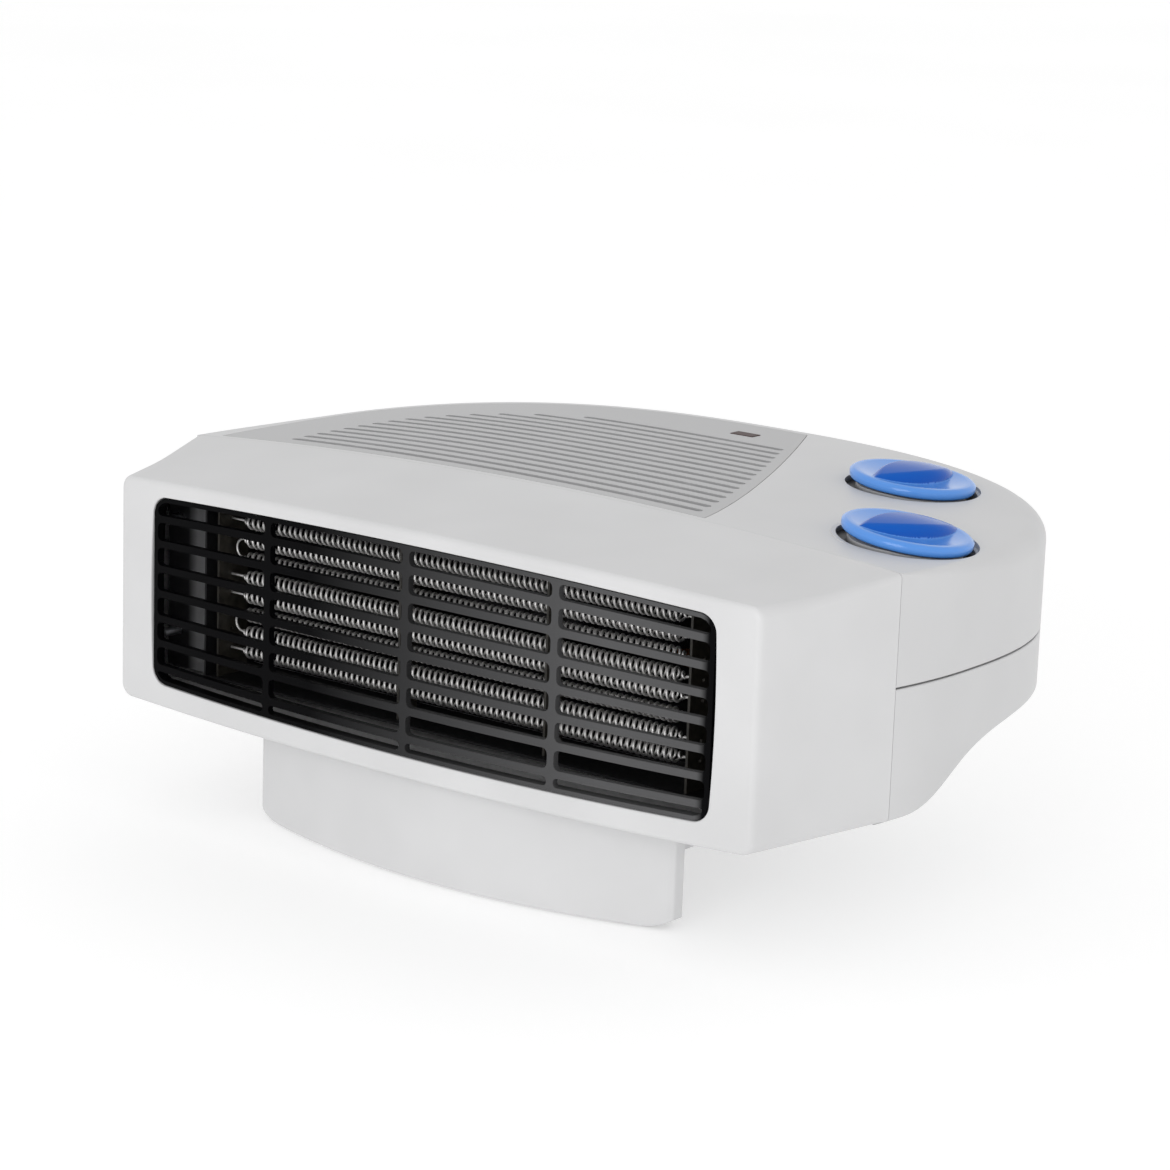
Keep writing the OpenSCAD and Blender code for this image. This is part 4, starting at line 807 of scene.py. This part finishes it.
def knob(name, at, lean, turn):
    """Knob on its control, its grip turned by turn degrees, and the grip marked on the mesh."""
    r = KNOB_R * np.sin(np.linspace(0.004, 1, KNOB_RADIAL) * np.pi / 2)
    a = 2 * np.pi * np.arange(KNOB_ROUND) / KNOB_ROUND
    x, y = np.outer(r, np.cos(a)), np.outer(r, np.sin(a))
    height, grip = knob_relief(x, y)
    rings = [np.column_stack([x[i], y[i], height[i]]) for i in range(KNOB_RADIAL)]
    for radius, z in KNOB_UNDER:
        ring = [radius * np.cos(a), radius * np.sin(a), np.full(KNOB_ROUND, z)]
        rings.append(np.column_stack(ring))
    under = np.zeros((len(rings) - KNOB_RADIAL) * KNOB_ROUND)
    top = float(knob_relief(0, 0)[0])
    points, faces = capped(rings[::-1], (0, 0, KNOB_UNDER[-1][1]), (0, 0, top))
    obj = raw_object(name, points * MM, faces)
    # The grip mark also sets where the disc's painted reflection gives way to the grip's blue.
    values = np.concatenate([under, grip[::-1].ravel(), [0.0, 1.0]])
    obj.data.attributes.new("grip", "FLOAT", "POINT").data.foreach_set("value", values)
    obj.data.transform(Matrix.Translation((0, 0, KNOB_GAP * MM)) @ turned_by(turn, "Z"))
    return smooth(tidy(at_control(obj, at, lean)), 50)


# Foot

FOOT_W = 161.0
FOOT_END_Y = 21.5
FOOT_BULGE = 15.2
FOOT_REAR_HALF = 38.0
FOOT_REAR_Y = 152.0
FOOT_END_T = 4.6
FOOT_WAIST_Y = 80.0
FOOT_TAIL_R = 20.0
FOOT_CORNER_R = 20.0
FOOT_CORNER_RUN = 10.0
FOOT_RIM_Z = 0.8
FOOT_TOP_Z = BEZEL_BOTTOM - BEZEL_SAG - 0.6
FOOT_EDGE_R = 0.7
FOOT_LIP_R = 0.5
FOOT_END_R = 1.2
FOOT_MIDDLE = (0, 60)
# How far the hollow's slanted side lies inside the foot's, across and to the front
HOLLOW_IN = (1.25 * WALL, 0.6 * WALL)
SADDLE_R = 14.0
SADDLE_FRONT_R = 3.0
SADDLE_IN = 4.0
SADDLE_FRONT_GAP = 3.0
SADDLE_REAR_GAP = 6.0
SCREW_FLOOR = 4.0
BOSS_H = 12.0
PAD_D = 12.0
PAD_SEAT_H = 1.2
PADS_AT = ((-63, 26), (63, 26), (-26, 134), (26, 134))
FOOT_SCREWS_AT = ((-27, 62), (27, 62), (-27, 140), (27, 140))


def foot_half(y):
    """Half width of the foot's side wall, from its front end to its waist."""
    t = (y - FOOT_END_Y - FOOT_END_T) / (FOOT_WAIST_Y - FOOT_END_Y - FOOT_END_T)
    return FOOT_REAR_HALF + (FOOT_W / 2 - FOOT_REAR_HALF) * (1 - t) ** 2


def foot_tail(r):
    """Rounded rear corner of the foot's plan, at a distance r from the corner's own middle."""
    x, y = FOOT_REAR_HALF - FOOT_TAIL_R, FOOT_REAR_Y - FOOT_TAIL_R
    return [(x + r * math.cos(a), y + r * math.sin(a)) for a in np.radians(np.linspace(0, 90, 19))]


def foot_outline():
    """Plan of the foot's right half, from the middle of its front to the middle of its back."""
    half, r = FOOT_W / 2, FOOT_END_R
    xs = half * np.sin(np.linspace(0, 0.5 * np.pi, 60)) ** 0.8
    front = [(x, FOOT_END_Y - FOOT_BULGE * (1 - (x / half) ** 2)) for x in xs if x < half - r]
    corner = [
        (half - r + r * math.sin(a), FOOT_END_Y + r * (1 - math.cos(a)))
        for a in np.radians(np.linspace(20, 90, 6))
    ]
    ys = np.linspace(FOOT_END_Y + FOOT_END_T, FOOT_WAIST_Y, 30)
    side = [(foot_half(y), y) for y in ys]
    right = front + corner + side + foot_tail(FOOT_TAIL_R)
    left = [(-x, y) for x, y in right[::-1] if x > 0.01]
    return np.array(right + left)


def foot_inner_outline():
    """Plan of the hollow under the foot, a wall's thickness inside its outline."""
    half = FOOT_W / 2
    xs = np.linspace(0, half - WALL, 40)
    right = [(x, FOOT_END_Y + WALL - FOOT_BULGE * (1 - (x / half) ** 2)) for x in xs]
    right.append((half - WALL, FOOT_END_Y + FOOT_END_T - WALL))
    right += [
        (foot_half(y) - HOLLOW_IN[0], y - HOLLOW_IN[1])
        for y in np.linspace(FOOT_END_Y + FOOT_END_T, FOOT_WAIST_Y, 30)[1:]
    ]
    right += foot_tail(FOOT_TAIL_R - WALL)
    return right + [(-x, y) for x, y in right[::-1] if x > 0.01]


def saddle_outline():
    """Plan of the pad on the foot that carries the case."""
    half, angles = FOOT_REAR_HALF - SADDLE_IN, np.linspace(0, 90, 13)
    y0, y1 = SEAM_Y + RIDGE_BOW + SADDLE_FRONT_GAP, FOOT_REAR_Y - SADDLE_REAR_GAP
    right = [(half - u, y0 + v) for u, v in rounding(SADDLE_FRONT_R, angles[::-1])]
    right += [(half - u, y1 - v) for u, v in rounding(SADDLE_R, angles)]
    return right + [(-x, y) for x, y in right[::-1]]


def inset_outline(outline, d):
    """The outline moved inwards by d along its own normals."""
    ahead, behind = np.roll(outline, -1, 0), np.roll(outline, 1, 0)
    along = ahead - behind
    along /= np.linalg.norm(along, axis=1)[:, None]
    return outline + d * np.column_stack([-along[:, 1], along[:, 0]])


def foot():
    """Hollow foot with curved lower corners, the case's saddle, pad seats and screw bosses."""
    outline = foot_outline()
    over = np.maximum(0, np.abs(outline[:, 0]) - (FOOT_W / 2 - FOOT_CORNER_RUN))
    lift = FOOT_CORNER_R - np.sqrt(np.maximum(FOOT_CORNER_R ** 2 - over ** 2, 0))

    def ring(d, z, lifted=1.0):
        flat = inset_outline(outline, d)
        return np.column_stack([flat, z + lift * lifted])

    rings = []
    for inwards, up in rounding(FOOT_EDGE_R, (90, 60, 30, 0)):
        rings.append(ring(inwards, FOOT_RIM_Z + up))
    for share in (0.3, 0.6, 0.9):
        z = blend(FOOT_RIM_Z, FOOT_TOP_Z, share)
        flat = ring(0, 0, 0)
        flat[:, 2] = np.maximum(z, FOOT_RIM_Z + FOOT_EDGE_R + lift + 0.1)
        rings.append(flat)
    for inwards, down in rounding(FOOT_LIP_R, (0, 30, 60, 90)):
        rings.append(ring(inwards, FOOT_TOP_Z - down, 0))
    shell = solid("foot_shell", rings, (*FOOT_MIDDLE, FOOT_RIM_Z), (*FOOT_MIDDLE, FOOT_TOP_Z))
    carve(shell, prism("inside", foot_inner_outline(), -2, FOOT_TOP_Z - WALL))
    bosses = [prism("saddle", saddle_outline(), FOOT_TOP_Z - WALL, CASE_BOTTOM)]
    seat = (PAD_D / 2 + 1, FOOT_RIM_Z + PAD_SEAT_H, FOOT_TOP_Z - 1)
    bosses += [post("seat", p, *seat) for p in PADS_AT]
    boss = (COLUMN_R + 1, FOOT_TOP_Z - BOSS_H, FOOT_TOP_Z)
    bosses += [post("boss", p, *boss) for p in FOOT_SCREWS_AT]
    carve(shell, *bosses, operation="UNION")
    holes = [post("hole", p, SCREW_R, -1, CASE_BOTTOM + 1) for p in FOOT_SCREWS_AT]
    holes += [post("sink", p, HEAD_R, -1, FOOT_TOP_Z - SCREW_FLOOR) for p in FOOT_SCREWS_AT]
    carve(shell, *holes)
    return smooth(shell, 28)


# Heating element: close-wound coils with tapered ends and round bends between the rows

COIL_ROWS = 4
COIL_PITCH = 5.9
COIL_D = 5.0
COIL_WIRE = 0.9
COIL_LEN = 171.0
COIL_MID = -3.0
COIL_Y = 21.0
COIL_Z = (OPENING_BOTTOM + OPENING_TOP) / 2 + 1
CURL_PITCH = 2.19
RINGS_PER_CURL = 16
TUBE_SIDES = 8
TAPER_CURLS = 1.5
# Half the distance between the wires' ends, which lie past the end plates
END_X = COIL_LEN / 2 + 7.2


def coil_path(first_row):
    """Middle of one circuit's wire: a helix along each row, with a round bend to the next row."""
    curls = round(COIL_LEN / CURL_PITCH)
    count = curls * RINGS_PER_CURL
    i = np.arange(count + 1)
    taper = np.minimum(1, np.minimum(i, count - i) / (TAPER_CURLS * RINGS_PER_CURL))
    r = (COIL_D - COIL_WIRE) / 2 * taper
    row_z = [COIL_Z + COIL_PITCH * (COIL_ROWS - 0.5 - first_row - k) for k in range(COIL_ROWS)]
    path = [np.array([[-END_X, COIL_Y, row_z[0]]])]
    for k, z in enumerate(row_z):
        way = 1 if k % 2 == 0 else -1
        a = way * 2 * np.pi * i / RINGS_PER_CURL
        x = way * (-COIL_LEN / 2 + COIL_LEN * i / count)
        path.append(np.column_stack([x, COIL_Y + r * np.cos(a), z + r * np.sin(a)]))
        if k < COIL_ROWS - 1:
            a = np.radians(np.arange(80, -81, -16))
            bend = COIL_PITCH / 2
            x = way * (COIL_LEN / 2 + bend * np.cos(a))
            y = np.full(len(a), COIL_Y)
            path.append(np.column_stack([x, y, z - bend + bend * np.sin(a)]))
    path.append(np.array([[way * END_X, COIL_Y, row_z[-1]]]))
    return np.concatenate(path) + np.array([COIL_MID, 0, 0])


def coil(name, first_row):
    """Tube round one circuit's path, carried along it without twisting."""
    path = coil_path(first_row)
    along = np.gradient(path, axis=0)
    along /= np.linalg.norm(along, axis=1)[:, None]
    side = np.array([0.0, 1.0, 0.0])
    rings = []
    for point, t in zip(path, along):
        side = side - t * (side @ t)
        side /= np.linalg.norm(side)
        over = np.cross(t, side)
        a = 2 * np.pi * np.arange(TUBE_SIDES) / TUBE_SIDES
        ring = np.outer(np.cos(a), side) + np.outer(np.sin(a), over)
        rings.append(point + COIL_WIRE / 2 * ring)
    return smooth(tidy(solid(name, rings, path[0], path[-1])), 60)


# Finishes

def new_material(name):
    material = bpy.data.materials.new(name)
    material.use_nodes = True
    tree = material.node_tree
    return material, tree, tree.nodes["Principled BSDF"]


def noise(tree, scale, detail=3.0, stretch=(1, 1, 1)):
    """Noise over the object's own coordinates, with scale in features per metre."""
    place = tree.nodes.new("ShaderNodeTexCoord")
    mapping = tree.nodes.new("ShaderNodeMapping")
    mapping.inputs["Scale"].default_value = stretch
    texture = tree.nodes.new("ShaderNodeTexNoise")
    texture.inputs["Scale"].default_value = scale
    texture.inputs["Detail"].default_value = detail
    tree.links.new(place.outputs["Object"], mapping.inputs["Vector"])
    tree.links.new(mapping.outputs["Vector"], texture.inputs["Vector"])
    return texture.outputs["Fac"]


def bands(tree, scale, axis):
    place = tree.nodes.new("ShaderNodeTexCoord")
    wave = tree.nodes.new("ShaderNodeTexWave")
    wave.bands_direction = axis
    wave.inputs["Scale"].default_value = scale
    tree.links.new(place.outputs["Object"], wave.inputs["Vector"])
    return wave.outputs["Fac"]


def remap(tree, source, low, high):
    node = tree.nodes.new("ShaderNodeMapRange")
    node.inputs["To Min"].default_value = low
    node.inputs["To Max"].default_value = high
    tree.links.new(source, node.inputs["Value"])
    return node.outputs["Result"]


def ramp(tree, factor, *stops):
    """Colour that runs with the factor through stops, each a place from 0 to 1 and a colour."""
    node = tree.nodes.new("ShaderNodeValToRGB")
    elements = node.color_ramp.elements
    for element, (place, colour) in zip(elements, (stops[0], stops[-1])):
        element.position, element.color = place, (*colour, 1)
    for place, colour in stops[1:-1]:
        elements.new(place).color = (*colour, 1)
    tree.links.new(factor, node.inputs["Fac"])
    return node.outputs["Color"]


def between(tree, factor, first, second):
    """Colour that runs from first to second over the middle of the factor's range."""
    return ramp(tree, factor, (0.3, first), (0.7, second))


def x_place(tree):
    """Place across the object's width, in metres."""
    place = tree.nodes.new("ShaderNodeTexCoord")
    split = tree.nodes.new("ShaderNodeSeparateXYZ")
    tree.links.new(place.outputs["Object"], split.inputs["Vector"])
    return split.outputs["X"]


def kept_measure(tree, name):
    """Measure kept on the mesh's points."""
    node = tree.nodes.new("ShaderNodeAttribute")
    node.attribute_name = name
    return node.outputs["Fac"]


def paint(tree, shader, colour):
    tree.links.new(colour, shader.inputs["Base Color"])


def roughen(tree, shader, source, low, high):
    tree.links.new(remap(tree, source, low, high), shader.inputs["Roughness"])


def bump(tree, shader, height, strength, distance):
    node = tree.nodes.new("ShaderNodeBump")
    node.inputs["Strength"].default_value = strength
    node.inputs["Distance"].default_value = distance
    tree.links.new(height, node.inputs["Height"])
    tree.links.new(node.outputs["Normal"], shader.inputs["Normal"])


def shade(colour, factor):
    return tuple(min(1, c * factor) for c in colour)


def plastic(name, colour, roughness, grain=0.08, mottle=0.03, shine=0.5):
    """Moulded plastic: a fine spark-eroded grain and faint flow marks."""
    material, tree, shader = new_material(name)
    flow = noise(tree, 28, 2)
    fine = noise(tree, 2600, 2)
    paint(tree, shader, between(tree, flow, shade(colour, 1 - mottle), shade(colour, 1 + mottle)))
    roughen(tree, shader, flow, roughness - 0.05, roughness + 0.05)
    shader.inputs["Specular IOR Level"].default_value = shine
    bump(tree, shader, fine, grain, 0.0001)
    return material


def painted_groove_shade(material, dark):
    """Paints shade into a material: near black on the floor of the grooves round the controls, as
    marked on the mesh.
    """
    tree = material.node_tree
    shader = tree.nodes["Principled BSDF"]
    mix = tree.nodes.new("ShaderNodeMixRGB")
    mix.inputs["Color2"].default_value = (*dark, 1)
    tree.links.new(kept_measure(tree, "painted_groove_shade"), mix.inputs["Fac"])
    tree.links.new(shader.inputs["Base Color"].links[0].from_socket, mix.inputs["Color1"])
    paint(tree, shader, mix.outputs["Color"])


def plastic_with_painted_reflection(name, low, high, roughness, shine, dull):
    """Glossy plastic that runs from low to high, and from shine to dull, on a knob's grip; the
    lighter low colour off the grip is a painted reflection.
    """
    material, tree, shader = new_material(name)
    grip = kept_measure(tree, "grip")
    paint(tree, shader, between(tree, grip, low, high))
    roughen(tree, shader, noise(tree, 40), roughness - 0.03, roughness + 0.03)
    tree.links.new(remap(tree, grip, shine, dull), shader.inputs["Specular IOR Level"])
    bump(tree, shader, noise(tree, 2500, 2), 0.02, 0.0001)
    return material


def painted_sheen_plastic(name, dark, light, roughness, shine, start, end, edge):
    """Black moulded plastic with a painted sheen: it greys along the width from start to end as a
    painted reflection, and stays dark past edge.
    """
    material, tree, shader = new_material(name)
    span = tree.nodes.new("ShaderNodeMapRange")
    span.inputs["From Min"].default_value = start
    span.inputs["From Max"].default_value = edge
    tree.links.new(x_place(tree), span.inputs["Value"])
    full = (end - start) / (edge - start)
    stops = ((0, dark), (full, light), (0.985, light), (1, dark))
    paint(tree, shader, ramp(tree, span.outputs["Result"], *stops))
    fine = noise(tree, 2500, 2)
    roughen(tree, shader, fine, roughness - 0.05, roughness + 0.05)
    shader.inputs["Specular IOR Level"].default_value = shine
    bump(tree, shader, fine, 0.12, 0.0001)
    return material


def metal(name, colour, roughness, stretch=(1, 1, 1), scale=900, depth=0.15):
    """Bare metal with the fine marks of rolling or drawing."""
    material, tree, shader = new_material(name)
    marks = noise(tree, scale, 4, stretch)
    paint(tree, shader, between(tree, marks, shade(colour, 0.88), shade(colour, 1.08)))
    roughen(tree, shader, marks, roughness - 0.08, roughness + 0.1)
    shader.inputs["Metallic"].default_value = 1
    bump(tree, shader, marks, depth, 0.00005)
    return material


def steel_with_painted_shade(name, bright, dark, roughness, edge):
    """Steel painted dark as shade all over, and bright only over a strip that starts at edge across
    the width.
    """
    material, tree, shader = new_material(name)
    outwards = tree.nodes.new("ShaderNodeMath")
    outwards.operation = "ABSOLUTE"
    tree.links.new(x_place(tree), outwards.inputs[0])
    strip = ((0, dark), (0.0006, bright), (0.0075, bright), (0.0088, dark))
    stops = [(edge + place, colour) for place, colour in strip]
    paint(tree, shader, ramp(tree, outwards.outputs["Value"], *stops))
    marks = noise(tree, 500, 4)
    roughen(tree, shader, marks, roughness - 0.08, roughness + 0.1)
    shader.inputs["Metallic"].default_value = 0.6
    bump(tree, shader, marks, 0.2, 0.0001)
    return material


def speckled(name, dark, light, roughness, scale):
    """Pressed or fired stuff with visible flakes."""
    material, tree, shader = new_material(name)
    flakes = noise(tree, scale, 6)
    paint(tree, shader, between(tree, flakes, dark, light))
    roughen(tree, shader, flakes, roughness - 0.1, roughness + 0.1)
    bump(tree, shader, flakes, 0.2, 0.0001)
    return material


def layered(name, colour, roughness, scale, axis, metallic):
    """Stacked sheets or wound wire: fine even lines across one axis."""
    material, tree, shader = new_material(name)
    lines = bands(tree, scale, axis)
    paint(tree, shader, between(tree, lines, shade(colour, 0.6), colour))
    roughen(tree, shader, noise(tree, 200), roughness - 0.08, roughness + 0.08)
    shader.inputs["Metallic"].default_value = metallic
    bump(tree, shader, lines, 0.5, 0.0002)
    return material


def clear(name, colour, roughness, transmission):
    """Clear moulded or blown piece with slight waves."""
    material, tree, shader = new_material(name)
    waves = noise(tree, 300, 2)
    paint(tree, shader, between(tree, waves, shade(colour, 0.9), colour))
    roughen(tree, shader, waves, roughness, roughness + 0.06)
    shader.inputs["Transmission Weight"].default_value = transmission
    shader.inputs["IOR"].default_value = 1.49
    bump(tree, shader, waves, 0.1, 0.0002)
    return material


white_plastic = plastic("white moulded plastic", (0.60, 0.60, 0.605), 0.42)
grey_plastic = plastic("grey moulded plastic", (0.585, 0.585, 0.59), 0.42)
# Painted shade: the groove floors round the knobs are painted near black.
painted_groove_shade(grey_plastic, (0.02, 0.02, 0.022))
panel_plastic = plastic("darker grey plastic", (0.44, 0.44, 0.445), 0.45)
foot_plastic = plastic("foot plastic", (0.6, 0.6, 0.605), 0.45)
# Painted reflection: the grille's black greys towards its right end.
black_plastic = painted_sheen_plastic(
    "black grille plastic", (0.002, 0.002, 0.0024), (0.085, 0.085, 0.087), 0.4, 0.03,
    start=-0.04, end=0.07, edge=0.1045,
)
duct_plastic = plastic("duct plastic", (0.006, 0.006, 0.0065), 0.5, 0.12, 0.15, 0.15)
switch_plastic = plastic("switch plastic", (0.03, 0.03, 0.032), 0.45, 0.08, 0.1)
pale_plastic = plastic("spindle plastic", (0.7, 0.7, 0.67), 0.4)
# Painted reflection: the knob's disc is a lighter blue than its grip.
blue_plastic = plastic_with_painted_reflection(
    "glossy blue plastic", (0.085, 0.28, 0.74), (0.006, 0.1, 0.47), 0.16, shine=0.5, dull=0.12,
)
rubber = plastic("black rubber", (0.015, 0.015, 0.015), 0.75, 0.3, 0.2)
bright_steel = metal("bright zinc-plated steel", (0.62, 0.63, 0.66), 0.3, (1, 1, 12), 400)
screw_steel = metal("screw steel", (0.5, 0.51, 0.53), 0.35)
wire_steel = metal("resistance wire", (0.78, 0.77, 0.76), 0.42, (1, 1, 1), 1500)
# Painted shade: the element frame's steel is painted dark, bright only over a strip near each end.
frame_steel_with_painted_shade = steel_with_painted_shade(
    "steel with painted shade", (0.3, 0.3, 0.31), (0.02, 0.02, 0.022), 0.45, edge=0.0991,
)
stack_steel = layered("laminated steel", (0.3, 0.31, 0.33), 0.4, 320, "Z", 0.9)
copper = layered("enamelled copper winding", (0.55, 0.2, 0.07), 0.3, 420, "X", 0.6)
mica = speckled("dark pressed mica", (0.012, 0.011, 0.009), (0.035, 0.031, 0.024), 0.5, 500)
ceramic = speckled("pale ceramic", (0.68, 0.66, 0.6), (0.8, 0.78, 0.73), 0.5, 350)
red_lens = plastic("dark red plastic", (0.05, 0.022, 0.02), 0.3, 0.02, 0.1, 0.03)
lamp_glass = clear("lamp glass", (0.95, 0.8, 0.7), 0.03, 0.9)

NODE_FINISHES = {
    "front_grille": black_plastic,
    "rubber_pads": rubber,
    "pilot_lamp_lens": red_lens,
    "pilot_lamp": lamp_glass,
    "selector_spindle": pale_plastic,
    "thermostat_spindle": pale_plastic,
    "selector_switch": switch_plastic,
    "thermostat": ceramic,
    "element_frame": frame_steel_with_painted_shade,
    "mica_end_plates": mica,
    "mica_cards": mica,
    "thermal_cutout": switch_plastic,
    "thermal_fuse": bright_steel,
    "fan_scroll": duct_plastic,
    "scroll_cover": duct_plastic,
    "impeller": duct_plastic,
    "motor_rotor": bright_steel,
    "motor_stator": stack_steel,
    "motor_winding": copper,
    "motor_bearings": stack_steel,
    "motor_screws": screw_steel,
    "cord_gland": rubber,
    "terminal_block": ceramic,
    "case_screws": screw_steel,
    "foot_screws": screw_steel,
}


def dress_nodes():
    """Finishes and smooth shading, with edges sharper than 30 degrees kept sharp, for the solids
    that show as they are.
    """
    for name, material in NODE_FINISHES.items():
        obj = nodes[name]
        obj.data.materials.clear()
        obj.data.materials.append(material)
        obj.data.shade_smooth()
        obj.data.set_sharp_from_angle(angle=math.radians(30))


# Floor, world and lights, in metres; each light has its place, its size and its power

FLOOR_SIZE = 12
FLOOR_GLOW = 0.42
WORLD_STRENGTH = 1.0
OVERHEAD_STRENGTH = 0.74
OVERHEAD_FROM = 0.15
LIGHTS_AIM = (0, 0, 0.07)
LIGHTS = (
    ("front light", (0.4, -1.2, 0.4), (0.7, 0.6), 4),
    ("top light", (-0.3, 0.6, 1.8), (2.0, 2.0), 1),
)


def pale_floor():
    """Pale floor that glows slightly, to come out as light as the photograph's."""
    bpy.ops.mesh.primitive_plane_add(size=FLOOR_SIZE)
    floor = bpy.context.active_object
    floor.name = "floor"
    material, tree, shader = new_material("pale floor")
    paint(tree, shader, between(tree, noise(tree, 3), (0.65, 0.65, 0.65), (0.67, 0.67, 0.67)))
    shader.inputs["Roughness"].default_value = 0.7
    shader.inputs["Specular IOR Level"].default_value = 0.1
    shader.inputs["Emission Color"].default_value = (1, 1, 1, 1)
    shader.inputs["Emission Strength"].default_value = FLOOR_GLOW
    floor.data.materials.append(material)


def studio():
    """White world that is greyer overhead, with soft lights in front and above."""
    bpy.context.scene.view_settings.view_transform = "Standard"
    world = bpy.data.worlds.new("studio")
    world.use_nodes = True
    tree = world.node_tree
    place = tree.nodes.new("ShaderNodeTexCoord")
    split = tree.nodes.new("ShaderNodeSeparateXYZ")
    fall = tree.nodes.new("ShaderNodeMapRange")
    fall.inputs["From Min"].default_value = OVERHEAD_FROM
    fall.inputs["To Min"].default_value = WORLD_STRENGTH
    fall.inputs["To Max"].default_value = OVERHEAD_STRENGTH
    tree.links.new(place.outputs["Generated"], split.inputs["Vector"])
    tree.links.new(split.outputs["Z"], fall.inputs["Value"])
    tree.links.new(fall.outputs["Result"], tree.nodes["Background"].inputs["Strength"])
    tree.nodes["Background"].inputs["Color"].default_value = (1, 1, 1, 1)
    bpy.context.scene.world = world
    for name, place, size, power in LIGHTS:
        data = bpy.data.lights.new(name, "AREA")
        data.shape = "RECTANGLE"
        data.size, data.size_y = size
        data.energy = power
        light = bpy.data.objects.new(name, data)
        bpy.context.scene.collection.objects.link(light)
        aim = Vector(LIGHTS_AIM) - Vector(place)
        turn = aim.to_track_quat("-Z", "Y").to_matrix().to_4x4()
        light.matrix_world = Matrix.Translation(place) @ turn


# The heater

dress(front_housing(), "case", white_plastic, "white_shell", "front_housing")
dress(upper_housing(), "case", grey_plastic, "grey_shell", "upper_housing")
dress(lower_housing(), "case", grey_plastic, "grey_shell", "lower_housing")
dress(intake_panel(), "case", panel_plastic, "grey_panel", "intake_grille")
dress(foot(), "case", foot_plastic, "foot_plastic", "foot")
dress(coil("upper_coil", 0), "case", wire_steel, "heating_wire", "upper_heating_coil")
dress(coil("lower_coil", COIL_ROWS), "case", wire_steel, "heating_wire", "lower_heating_coil")
dress(
    knob("selector_cap", SELECTOR_AT, SELECTOR_LEAN, SELECTOR_TURN),
    "selector", blue_plastic, "blue_knob", "selector_knob",
)
dress(
    knob("thermostat_cap", THERMOSTAT_AT, THERMOSTAT_LEAN, THERMOSTAT_TURN),
    "thermostat_control", blue_plastic, "blue_knob", "thermostat_knob",
)
dress_nodes()
pale_floor()
studio()
